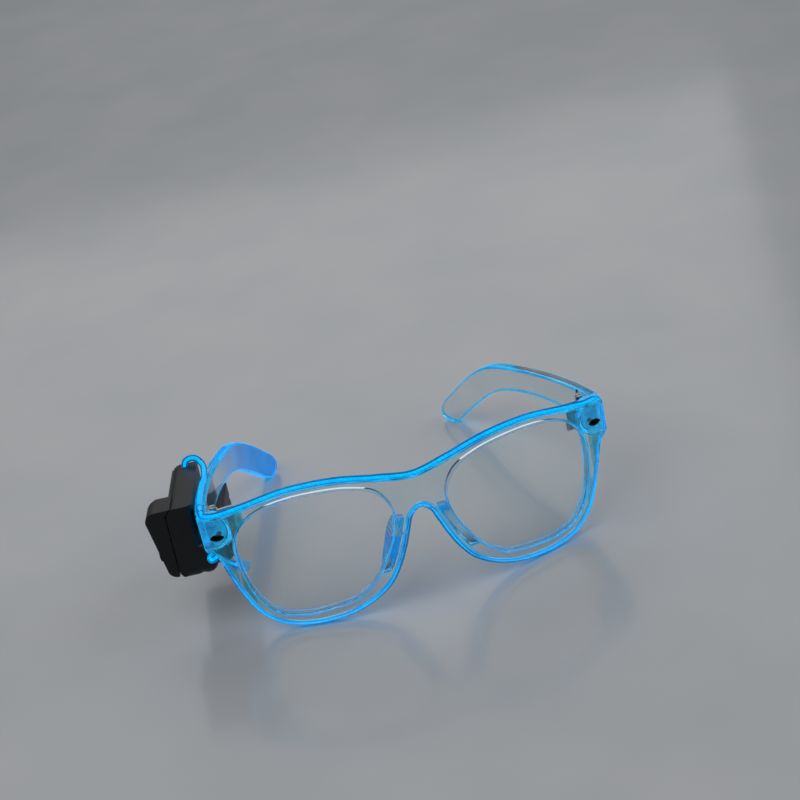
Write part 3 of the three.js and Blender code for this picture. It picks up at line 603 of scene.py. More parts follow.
def combine(piece: Piece, tool: Piece, operation: Operation) -> None:
    """Joins a second solid to a piece or cuts it away, and uses it up.

    Args:
        piece: the piece to change.
        tool: the second solid.
        operation: whether it is joined or cut away.
    """
    modifier = piece.modifiers.new("combination", "BOOLEAN")
    modifier.operation = operation.value
    modifier.object = tool
    modifier.solver = "EXACT"
    apply_modifiers(piece)
    bpy.data.objects.remove(tool)


def weld(piece: Piece, flatness: float = FLAT_WITHIN, reach: float = DOUBLES_WITHIN) -> None:
    """Merges a mesh's doubles and flat triangles, and turns its faces outwards.

    Args:
        piece: the mesh object.
        flatness: angle up to which neighbouring faces become one.
        reach: distance up to which points become one.
    """
    with editing(piece):
        bpy.ops.mesh.remove_doubles(threshold=reach * MM)
        bpy.ops.mesh.normals_make_consistent(inside=False)
        bpy.ops.mesh.dissolve_limited(angle_limit=math.radians(flatness))


def drop_slivers(piece: Piece) -> None:
    """Takes out the strips without width that a bevel or a cut leaves.

    Args:
        piece: the mesh object.
    """
    with editing(piece):
        bpy.ops.mesh.remove_doubles(threshold=SLIVER * MM)
        bpy.ops.mesh.dissolve_degenerate(threshold=SLIVER * MM)


def add_line(curve: bpy.types.Curve, points: Sequence[Sequence[float]], closed: bool = False) -> None:
    """Adds a line through points to a curve.

    Args:
        curve: the curve.
        points: places of the points, in metres.
        closed: whether the last point joins the first.
    """
    spline = curve.splines.new("POLY")
    spline.points.add(len(points) - 1)
    for point, place in zip(spline.points, points):
        point.co = (*place, 1)
    spline.use_cyclic_u = closed


def plate(
    name: str, outlines: Sequence[Sequence[Flat]], near: float, far: float, edge: float, steps: int = 3,
) -> Piece:
    """A flat plate with rounded edges that stands in X and Z.

    Args:
        name: name of the new piece.
        outlines: closed outlines, of which all but the first are holes.
        near: Y of its front face.
        far: Y of its back face.
        edge: radius of its rounded edges.
        steps: faces across each rounded edge.

    Returns:
        The plate as a mesh object, in the drawing's place.
    """
    curve = bpy.data.curves.new(name, "CURVE")
    curve.dimensions = "2D"
    curve.fill_mode = "BOTH"
    curve.extrude = ((far - near) / 2 - edge) * MM
    curve.bevel_depth = edge * MM
    curve.bevel_resolution = steps - 1
    curve.offset = -edge * MM
    for outline in outlines:
        add_line(curve, [(across * MM, up * MM, 0) for across, up in outline], closed=True)
    piece = add_object(name, curve)
    piece.rotation_euler = (math.pi / 2, 0, 0)
    piece.location = (0, (near + far) / 2 * MM, 0)
    select_only(piece)
    bpy.ops.object.convert(target="MESH")
    settle(piece)
    weld(piece)
    return piece


def slice_along(piece: Piece, axis: Point, spacing: float) -> None:
    """Cuts a mesh's faces at even steps along an axis, so that it can be bent smoothly.

    Args:
        piece: the mesh object.
        axis: direction of the steps.
        spacing: distance between cuts.
    """
    way = Vector(axis)
    reach = [vertex.co.dot(way) for vertex in piece.data.vertices]
    low, high = min(reach), max(reach)
    count = round((high - low) / (spacing * MM))
    with editing(piece):
        for i in range(1, count):
            bpy.ops.mesh.select_all(action="SELECT")
            bpy.ops.mesh.bisect(plane_co=way * (low + (high - low) * i / count), plane_no=way)


def trim(piece: Piece, place: Vector, beyond: Vector) -> None:
    """Cuts away what lies beyond a plane, and closes the cut."""
    with editing(piece):
        bpy.ops.mesh.bisect(plane_co=place, plane_no=beyond, use_fill=True, clear_outer=True)


def curl(piece: Piece, radius: float) -> None:
    """Bends a piece that runs along X round an upright axis behind it.

    Args:
        piece: the mesh object.
        radius: the axis's distance behind Y = 0.
    """
    reach = [vertex.co.x for vertex in piece.data.vertices]
    bend = piece.modifiers.new("curl", "SIMPLE_DEFORM")
    bend.deform_method = "BEND"
    bend.deform_axis = "Z"
    bend.angle = (max(reach) - min(reach)) / (radius * MM)
    apply_modifiers(piece)


def stand(piece: Piece, turn: Matrix = Matrix()) -> None:
    """Moves a piece from the drawing's place into the frame, after a turn."""
    piece.matrix_world = Matrix.Translation(DATUM) @ turn
    settle(piece)


def mirror(piece: Piece, name: str) -> Piece:
    """Copies a piece to the other side.

    Args:
        piece: the piece, still in the drawing's place.
        name: name of the copy.

    Returns:
        The copy.
    """
    twin = add_object(name, piece.data.copy())
    twin.scale = (-1, 1, 1)
    settle(twin)
    with editing(twin):
        bpy.ops.mesh.normals_make_consistent(inside=False)
    return twin


def brick(low: Sequence[float], high: Sequence[float]) -> Piece:
    """A box to cut with.

    Args:
        low: its least X, Y and Z, in metres.
        high: its greatest X, Y and Z.

    Returns:
        The box as a mesh object.
    """
    bpy.ops.object.select_all(action="DESELECT")
    bpy.ops.mesh.primitive_cube_add(size=1)
    piece = bpy.context.object
    piece.location = [(a + b) / 2 for a, b in zip(low, high)]
    piece.scale = [b - a for a, b in zip(low, high)]
    settle(piece)
    return piece


def lathe(name: str, profile: Sequence[Flat], steps: int = 40) -> Piece:
    """Spins a profile round Z into a closed solid.

    Args:
        name: name of the new piece.
        profile: radius and height of each point, from the axis round to the axis.
        steps: faces round the axis.

    Returns:
        The solid as a mesh object at the origin.
    """
    mesh = bpy.data.meshes.new(name)
    line = [(radius * MM, 0, height * MM) for radius, height in profile]
    mesh.from_pydata(line, [(i, i + 1) for i in range(len(line) - 1)], [])
    piece = add_object(name, mesh)
    with editing(piece):
        bpy.ops.mesh.spin(steps=steps, angle=math.tau, center=(0, 0, 0), axis=(0, 0, 1))
    weld(piece, SPUN_FLAT_WITHIN)
    return piece


def round_edges(
    piece: Piece, width: float, steps: int = ROUND_STEPS, angle: float = SHARP_FROM, clamp: bool = True,
) -> None:
    """Rounds an object's sharp edges.

    Args:
        piece: the object.
        width: width of the rounding.
        steps: faces across each rounded edge.
        angle: sharpness from which an edge is rounded.
        clamp: whether the width shrinks where edges are close.
    """
    bevel = piece.modifiers.new("rounding", "BEVEL")
    bevel.width = width * MM
    bevel.segments = steps
    bevel.limit_method = "ANGLE"
    bevel.angle_limit = math.radians(angle)
    bevel.use_clamp_overlap = clamp
    apply_modifiers(piece)
    drop_slivers(piece)


def refined_copy(node: str, name: str, width: float = 0) -> Piece:
    """Copies a node's solid, merges its loose triangles and rounds its edges.

    Args:
        node: the node to copy.
        name: name of the new piece.
        width: width of the rounded edges, if they are rounded here.

    Returns:
        The new piece, at the origin, with its place in its mesh.
    """
    piece = add_object(name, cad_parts[node].data.copy())
    piece.data.materials.clear()
    select_only(piece)
    bpy.ops.mesh.customdata_custom_splitnormals_clear()
    weld(piece, reach=COPY_DOUBLES_WITHIN)
    if width:
        round_edges(piece, width)
    smooth(piece)
    return piece


def paint(piece: Piece, *finishes: Finish) -> None:
    """Gives an object's material slots their finishes, in order.

    Args:
        piece: the object.
        *finishes: the finish of each slot.
    """
    piece.data.materials.clear()
    for finish in finishes:
        piece.data.materials.append(finish.build())


def finish_piece(piece: Piece, body: Body, node: str = "") -> None:
    """Lets a finished piece ride on its body, in place of its node, and reports it.

    Args:
        piece: the finished object.
        body: the body that it moves with.
        node: the node that it stands for, if it stands for one.
    """
    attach(piece, body.value)
    label(piece, node, f"rides on {body.value}")


def label(piece: Piece, node: str, motion: str) -> None:
    """Hides the node that a piece replaces, if any, and reports its faces and how it moves.

    Args:
        piece: the finished object.
        node: the node that it stands for, if it stands for one.
        motion: how it moves, in words.
    """
    if node:
        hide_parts(node)
    LOG.info("%s: %d faces, %s", piece.name, len(piece.data.polygons), motion)


def catmull(points: Sequence[Sequence[float]], steps: int, closed: bool = False) -> list[Vector]:
    """A smooth line through points, by centripetal Catmull-Rom spans.

    Args:
        points: the points that the line passes through.
        steps: samples in each span.
        closed: whether the line runs on from its last point to its first.

    Returns:
        The samples, with both ends where the line is open.
    """
    known = [Vector(point) for point in points]
    if closed:
        return catmull([known[-1], *known, known[0], known[1]], steps)[steps:-steps - 1]
    known = [known[0] * 2 - known[1], *known, known[-1] * 2 - known[-2]]
    line = []
    for p0, p1, p2, p3 in zip(known, known[1:], known[2:], known[3:]):
        before, within, after = ((b - a).length ** 0.5 for a, b in ((p0, p1), (p1, p2), (p2, p3)))
        leaving = ((p1 - p0) / before - (p2 - p0) / (before + within) + (p2 - p1) / within) * within
        arriving = ((p2 - p1) / within - (p3 - p1) / (within + after) + (p3 - p2) / after) * within
        for i in range(steps):
            t = i / steps
            line.append(
                p1 + leaving * t + (p2 * 3 - p1 * 3 - leaving * 2 - arriving) * t * t
                + (p1 * 2 - p2 * 2 + leaving + arriving) * t ** 3)
    return [*line, known[-2]]


def flat_curve(points: Iterable[Flat], steps: int, closed: bool = False) -> list[Flat]:
    """A smooth flat line through flat points."""
    return [(point.x, point.y) for point in catmull([(*point, 0) for point in points], steps, closed)]


def arc(centre: Flat, radius: float, start: float, turn: float, steps: int) -> list[Flat]:
    """Points of an arc that starts at one angle and turns through another, in degrees."""
    angles = [math.radians(start + turn * i / steps) for i in range(steps + 1)]
    return [(centre[0] + radius * math.cos(angle), centre[1] + radius * math.sin(angle)) for angle in angles]


def flipped(line: Sequence[Point | Flat]) -> list[Point | Flat]:
    """A line's mirror image, run through the other way."""
    return [(-across, *rest) for across, *rest in reversed(line)]


def tube(name: str, line: Sequence[Vector], radius: float, fineness: int = 4) -> Piece:
    """A round tube with closed ends along a line in the frame.

    Args:
        name: name of the new piece.
        line: points of the line, in metres.
        radius: the tube's radius in millimetres.
        fineness: how finely its section is divided.

    Returns:
        The tube as a mesh object.
    """
    curve = bpy.data.curves.new(name, "CURVE")
    curve.dimensions = "3D"
    curve.bevel_depth = radius * MM
    curve.bevel_resolution = fineness
    curve.use_fill_caps = True
    add_line(curve, line)
    piece = add_object(name, curve)
    select_only(piece)
    bpy.ops.object.convert(target="MESH")
    smooth(piece, TUBE_SMOOTH_BELOW)
    return piece


# Sub-assemblies


class FrontFinish(Enum):
    """The front's finishes, as their material slots. All but CLEAR carry painted glow."""

    CLEAR = 0
    EDGE = 1
    BLOCK = 2
    PAD = 3
    CORE = 4


@dataclass
class ClearFront:
    """The moulded front: rims, bridge, nose pads and end pieces, with painted glow on its edges, end pieces
    and pads.

    The plate is cut flat with its two openings, bent, and joined to the end pieces' blocks and the pads.
    """

    edge_round: float = 0.42
    block_round: float = 0.5
    strip: float = 3
    samples: int = 14
    corner_steps: int = 5
    round_steps: int = 28
    soft_steps: int = 4
    block_steps: int = 3
    block_share: float = 1.3
    block_sink: float = 0.13
    block_sharp_from: float = 50
    seat_depth: float = 0.8
    seat_near: float = 1.1
    seat_far: float = 3
    groove_radius: float = 1.3
    groove_steps: int = 8
    pad_width: float = 3.4
    pad_gap: float = 1.2
    pad_root: float = 1.2
    pad_round: float = 0.9
    pad_low: float = 13.5
    pad_reach: float = 18
    pad_strip: float = 1
    pad_profile: tuple[Flat, ...] = (
        (0, 0), (3.2, 0.3), (6.6, 2.4), (9.2, 6.2), (10.2, 10.4), (9.9, 14.2), (8.4, 17.6), (6.2, 19.4),
        (3.2, 19.9), (0, 20),
    )
    # Heights on each side where the pads take the deep blue painted glow.
    deep_glow_heights: dict[Side, Flat] = field(
        default_factory=lambda: {Side.RIGHT: (17.5, 24.5), Side.LEFT: (29, 35)})
    # Facings between which a face counts as rounded and takes the painted edge glow.
    facing_flat: float = 0.93
    facing_side: float = 0.25

    def build(self) -> None:
        """Makes the front and dresses it."""
        lens = lens_outline(0)
        outlines = [self.outline(), lens, flipped(lens)]
        piece = plate("clear_front", outlines, 0, FRONT.thickness, self.edge_round)
        slice_along(piece, (1, 0, 0), self.strip)
        curl(piece, FRONT.plan_radius)
        for side in Side:
            combine(piece, self.block(side), Operation.JOIN)
            combine(piece, self.pad(side), Operation.JOIN)
        for side in Side:
            seat = bent_lens("seat", side, self.seat_depth, self.seat_near, self.seat_far)
            combine(piece, seat, Operation.CUT)
        stand(piece)
        combine(piece, self.groove(), Operation.CUT)
        drop_slivers(piece)
        smooth(piece)
        # Every finish but CLEAR paints the wire's light as glow; finish_of picks the faces.
        paint(piece, CLEAR, LIT_EDGE, LIT_BLOCK, LIT_PAD, LIT_CORE)
        for face in piece.data.polygons:
            face.material_index = self.finish_of(face).value
        finish_piece(piece, Body.FRONT, "front_frame")

    def outline(self) -> list[Flat]:
        """The whole outline along the front's curve, from the brow's middle round to it again.

        Returns:
            Distance along the curve and height of each point.
        """
        corner = FRONT.block_corner
        edge = FRONT.half_width - corner
        half = [
            *(point for point in self.line(FRONT.brow_shares) if point[0] < FRONT.half_width - corner * 2),
            *arc((edge, FRONT.block_top - corner), corner, 90, -90, self.corner_steps),
            *arc((edge, FRONT.block_bottom + corner), corner, 0, -90, self.corner_steps),
            *self.line(FRONT.lower_shares),
        ]
        return [*half, *flipped(half)[1:-1]]

    def line(self, shares: Sequence[Flat]) -> list[Flat]:
        """A smooth line through shares of the front's half width and height."""
        return flat_curve([(s * FRONT.half_width, z * FRONT.height) for s, z in shares], self.samples)

    def block(self, side: Side) -> Piece:
        """The thick block behind an end piece: straight outside, a half round towards the lens.

        Args:
            side: the end piece's side.

        Returns:
            The block, in the drawing's place.
        """
        corner, edge = FRONT.block_corner, FRONT.side_edge
        radius = FRONT.block_height / 2
        centre = (edge - FRONT.block_width + radius, FRONT.block_top - radius)
        outline = [
            (edge - corner, FRONT.block_bottom), (edge, FRONT.block_bottom + corner),
            (edge, FRONT.block_top - corner), (edge - corner, FRONT.block_top),
            *arc(centre, radius, 90, 180, self.round_steps),
        ]
        if side is Side.RIGHT:
            outline = flipped(outline)
        piece = plate(
            "end_block", [outline], FRONT.thickness, FRONT.block_back, self.block_round, self.soft_steps)
        middle = side.value * (FRONT.half_width - FRONT.block_width / 2)
        turn = middle / FRONT.plan_radius
        seam = Vector(FRONT.at(middle, self.block_sink, FRONT.block_top)) * MM
        trim(piece, seam, Vector((math.sin(turn), -math.cos(turn), 0)))
        round_edges(piece, self.edge_round, self.block_steps, self.block_sharp_from)
        return piece

    def pad(self, side: Side) -> Piece:
        """A nose pad: a rounded tongue beside the nose arch that swells towards the back.

        Args:
            side: the pad's side of the nose.

        Returns:
            The pad, in the drawing's place.
        """
        profile = flat_curve(self.pad_profile, self.soft_steps)
        outline = [(depth + self.pad_root, up + self.pad_low) for depth, up in profile]
        half = self.pad_width / 2
        piece = plate("nose_pad", [outline], -half, half, self.pad_round, self.soft_steps)
        piece.rotation_euler = (0, 0, math.pi / 2)
        settle(piece)
        slice_along(piece, (0, 0, 1), self.pad_strip)
        arch = [point for point in self.line(FRONT.lower_shares) if point[0] < FRONT.half_width / 3]
        for vertex in piece.data.vertices:
            vertex.co.x += (self.across_at(arch, vertex.co.z / MM) + self.pad_gap + half) * MM
        if side is Side.LEFT:
            return piece
        twin = mirror(piece, "nose_pad_right")
        bpy.data.objects.remove(piece)
        return twin

    @staticmethod
    def across_at(line: Sequence[Flat], height: float) -> float:
        """How far across the nose arch is at a height.

        Args:
            line: the arch's points, from its foot to its top.
            height: the height.

        Returns:
            The distance from the nose along the front's curve.
        """
        for (s0, z0), (s1, z1) in zip(line, line[1:]):
            if z0 <= height <= z1:
                return s0 + (s1 - s0) * (height - z0) / (z1 - z0)
        return line[0][0] if height < line[0][1] else line[-1][0]

    def groove(self) -> Piece:
        """The wire's groove, as a tube a little wider than the wire.

        Returns:
            The tube, in the frame.
        """
        route = GlowWire().front_route()
        open_end = (route[0][0], FRONT.block_back + FRONT.block_corner, route[0][2])
        line = catmull([placed(point) for point in (open_end, *route)], self.groove_steps)
        return tube("groove", line, self.groove_radius)

    def finish_of(self, face: bpy.types.MeshPolygon) -> FrontFinish:
        """Picks a face's finish, and so where painted glow goes, from its place on the curved front and the
        way it faces.

        Args:
            face: a face of the front, in the frame.

        Returns:
            The finish.
        """
        place = (face.center - DATUM) / MM
        behind = FRONT.plan_radius - place.y
        angle = math.atan2(place.x, behind)
        along, depth = angle * FRONT.plan_radius, FRONT.plan_radius - math.hypot(place.x, behind)
        facing = abs(face.normal.dot(Vector((-math.sin(angle), math.cos(angle), 0))))
        rounded = self.facing_side < facing < self.facing_flat
        at_block = abs(along) > FRONT.half_width - FRONT.block_width * self.block_share
        if at_block and place.z > FRONT.block_bottom - FRONT.block_corner:
            return FrontFinish.EDGE if rounded else FrontFinish.BLOCK
        if abs(along) < self.pad_reach and depth > FRONT.thickness + self.edge_round / 2:
            low, high = self.deep_glow_heights[Side.LEFT if along > 0 else Side.RIGHT]
            return FrontFinish.CORE if low < place.z < high else FrontFinish.PAD
        return FrontFinish.EDGE if rounded else FrontFinish.CLEAR


# A lens plate: samples of each span of its outline, its rounding, and its cuts along X
LENS_SAMPLES = 10
LENS_ROUND = 0.12
LENS_ROUND_STEPS = 2
LENS_STRIP = 3


def lens_outline(grow: float) -> list[Flat]:
    """The left lens's outline along the front's curve.

    Args:
        grow: how far it reaches beyond the opening.

    Returns:
        Distance along the curve and height of each point.
    """
    points = [(s * FRONT.half_width, z * FRONT.height) for s, z in FRONT.lens_shares]
    middle = [sum(point[k] for point in points) / len(points) for k in (0, 1)]
    reach = [max(abs(point[k] - middle[k]) for point in points) for k in (0, 1)]
    grown = [
        tuple(middle[k] + (point[k] - middle[k]) * (1 + grow / reach[k]) for k in (0, 1)) for point in points]
    return flat_curve(grown, LENS_SAMPLES, closed=True)


def bent_lens(name: str, side: Side, grow: float, near: float, far: float) -> Piece:
    """A lens-shaped plate that follows the front's curve.

    Args:
        name: name of the new piece.
        side: the lens's side.
        grow: how far it reaches beyond the opening.
        near: depth of its front face.
        far: depth of its back face.

    Returns:
        The plate, in the drawing's place.
    """
    outline = lens_outline(grow)
    piece = plate(
        name, [outline if side is Side.LEFT else flipped(outline)], near, far, LENS_ROUND, LENS_ROUND_STEPS)
    slice_along(piece, (1, 0, 0), LENS_STRIP)
    curl(piece, FRONT.plan_radius)
    return piece


@dataclass
class Lenses:
    """The two clear lenses, snapped in the rims' grooves."""

    grow: float = 0.6
    near: float = 1.4
    far: float = 2.7

    def build(self) -> None:
        """Makes both lenses."""
        for side in Side:
            name = side.name.lower()
            piece = bent_lens(f"clear_lens_{name}", side, self.grow, self.near, self.far)
            stand(piece)
            smooth(piece)
            paint(piece, LENS)
            finish_piece(piece, Body.FRONT, f"lens_{name}")


@dataclass
class Studs:
    """The domed, pointed oval studs on the end pieces, each on a pin through the block."""

    inset: float = 5.2
    drop: float = 7
    length: float = 5.2
    width: float = 2.4
    proud: float = 0.75
    foot: float = 0.3
    pin_radius: float = 0.8
    pin_length: float = 6
    tilt: float = 8
    points: int = 40
    fullness: float = 0.75
    dome: tuple[Flat, ...] = ((0.94, 0.32), (0.82, 0.6), (0.62, 0.84), (0.36, 0.96), (0.12, 1))

    def build(self) -> None:
        """Makes one stud and places a copy of it on each side."""
        model = self.head()
        for side in Side:
            name = side.name.lower()
            piece = add_object(f"chrome_stud_{name}", model.data.copy())
            across = side.value * (FRONT.half_width - self.inset)
            place = Matrix.Translation(Vector(FRONT.at(across, 0, FRONT.block_top - self.drop)) * MM)
            turn = Matrix.Rotation(across / FRONT.plan_radius, 4, "Z")
            tilt = Matrix.Rotation(math.radians(self.tilt) * side.value, 4, "Y")
            stand(piece, place @ turn @ tilt)
            smooth(piece)
            paint(piece, DARK_CHROME)
            finish_piece(piece, Body.FRONT, f"stud_{name}")
        bpy.data.objects.remove(model)

    def head(self) -> Piece:
        """The stud: a pointed oval raised ring by ring to a dome, joined to its pin.

        Returns:
            The stud at the origin, with its dome towards -Y.
        """
        bpy.ops.object.select_all(action="DESELECT")
        bpy.ops.mesh.primitive_circle_add(
            vertices=self.points, radius=1, fill_type="NGON", rotation=(math.pi / 2, 0, 0))
        piece = bpy.context.object
        settle(piece)
        for vertex in piece.data.vertices:
            along = vertex.co.x
            vertex.co = (
                along * self.length / 2 * MM, self.foot * MM,
                math.copysign(max(1 - along * along, 0) ** self.fullness * self.width / 2 * MM, vertex.co.z))
        with editing(piece):
            bpy.ops.mesh.extrude_region_move(TRANSFORM_OT_translate={"value": (0, -self.foot * MM, 0)})
            size, rise = 1.0, 0.0
            for share, height in self.dome:
                bpy.ops.mesh.extrude_region_move(
                    TRANSFORM_OT_translate={"value": (0, (rise - height) * self.proud * MM, 0)})
                ratio = share / size
                bpy.ops.transform.resize(value=(ratio, 1, ratio), center_override=(0, 0, 0))
                size, rise = share, height
        weld(piece, SPUN_FLAT_WITHIN)
        pin = lathe("stud_pin", [
            (0, 0), (self.pin_radius, 0), (self.pin_radius, self.pin_length - self.foot),
            (self.pin_radius - self.foot, self.pin_length), (0, self.pin_length)])
        pin.rotation_euler = (-math.pi / 2, 0, 0)
        settle(pin)
        combine(piece, pin, Operation.JOIN)
        return piece


@dataclass
class Hinges:
    """The barrel hinges inside the end pieces: two leaves and a slotted screw on each side."""

    edge_round: float = 0.08
    slot_width: float = 0.4
    slot_depth: float = 0.35

    def build(self) -> None:
        """Makes the leaves and screws of both hinges."""
        for side in Side:
            name = side.name.lower()
            for node, body in (
                (f"hinge_front_leaf_{name}", Body.FRONT),
                (f"hinge_temple_leaf_{name}", TEMPLE_BODIES[side]),
                (f"hinge_screw_{name}", Body.FRONT),
            ):
                piece = refined_copy(node, f"nickel_{node}", self.edge_round)
                if "screw" in node:
                    combine(piece, self.slot(node), Operation.CUT)
                    smooth(piece)
                paint(piece, NICKEL)
                finish_piece(piece, body, node)

    def slot(self, node: str) -> Piece:
        """The slot across a screw's head.

        Args:
            node: the screw's node.

        Returns:
            The slot as a box, in the frame.
        """
        low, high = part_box(node)
        middle, half = (low.y + high.y) / 2, self.slot_width / 2 * MM
        return brick(
            (low.x - MM, middle - half, high.z - self.slot_depth * MM),
            (high.x + MM, middle + half, high.z + MM))


@dataclass
class Temples:
    """The two clear temples: cut flat, rounded along their edges and bowed. The right carries the wire."""

    edge_round: float = 1.1
    edge_steps: int = 5
    strip: float = 4
    samples: int = 7
    groove_radius: float = 1.3
    groove_steps: int = 8
    entry_points: int = 4
    leaf_thickness: float = 1.3
    leaf_start: float = 3.5
    room: float = 0.1
    facing_flat: float = 0.96

    def build(self) -> None:
        """Makes both temples."""
        half = TEMPLE.thickness / 2
        left = plate("clear_temple_left", [self.outline()], -half, half, self.edge_round, self.edge_steps)
        slice_along(left, (1, 0, 0), self.strip)
        curl(left, TEMPLE.bow_radius)
        turn = Matrix.Rotation(math.pi / 2 + math.radians(TEMPLE.toe), 4, "Z")
        left.matrix_world = Matrix.Translation((TEMPLE_CENTRE * MM, TEMPLE_START * MM, 0)) @ turn
        settle(left)
        self.dress(mirror(left, "clear_temple_right"), Side.RIGHT)
        self.dress(left, Side.LEFT)

    def outline(self) -> list[Flat]:
        """A temple's side view.

        Returns:
            Distance along the bow and height of each point.
        """
        toe = math.radians(TEMPLE.toe)
        profile = [(y * TEMPLE.length, z * TEMPLE_TOP) for y, z in TEMPLE.shares]
        return [
            (TEMPLE.bow_radius * (math.asin(y / TEMPLE.bow_radius + math.sin(toe)) - toe), z)
            for y, z in flat_curve(profile, self.samples)]

    def dress(self, piece: Piece, side: Side) -> None:
        """Cuts a temple's pocket and groove, and gives it its finishes, with painted glow on its rounded
        edges and on the right temple.

        Args:
            piece: the temple, still in the drawing's place.
            side: the side that it is on.
        """
        stand(piece)
        combine(piece, self.pocket(side), Operation.CUT)
        if side is Side.RIGHT:
            run = GlowWire().temple_route()[:-self.entry_points]
            lead = run[0] - Vector((0, TEMPLE.thickness, -TEMPLE.gap)) * MM
            groove = tube("temple_groove", catmull([lead, *run], self.groove_steps), self.groove_radius)
            combine(piece, groove, Operation.CUT)
        smooth(piece)
        # Painted glow: the right temple's blue fill, and the rounded edges of both temples.
        paint(piece, LIT_TEMPLE if side is Side.RIGHT else CLEAR, LIT_EDGE)
        for face in piece.data.polygons:
            rounded = max(abs(face.normal.z), math.hypot(face.normal.x, face.normal.y)) < self.facing_flat
            face.material_index = int(rounded)
        finish_piece(piece, TEMPLE_BODIES[side], f"temple_{side.name.lower()}")

    def pocket(self, side: Side) -> Piece:
        """The room for the hinge's leaf in a temple's inner face.

        Args:
            side: the temple's side.

        Returns:
            The room as a box, in the frame.
        """
        low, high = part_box(f"hinge_temple_leaf_{side.name.lower()}")
        room = self.room * MM
        outer = side.value * (high.x if side is Side.LEFT else -low.x)
        ends = sorted((outer + side.value * room, outer - side.value * self.leaf_thickness * MM))
        return brick(
            (ends[0], low.y + self.leaf_start * MM, low.z - room), (ends[1], high.y + room, high.z + room))


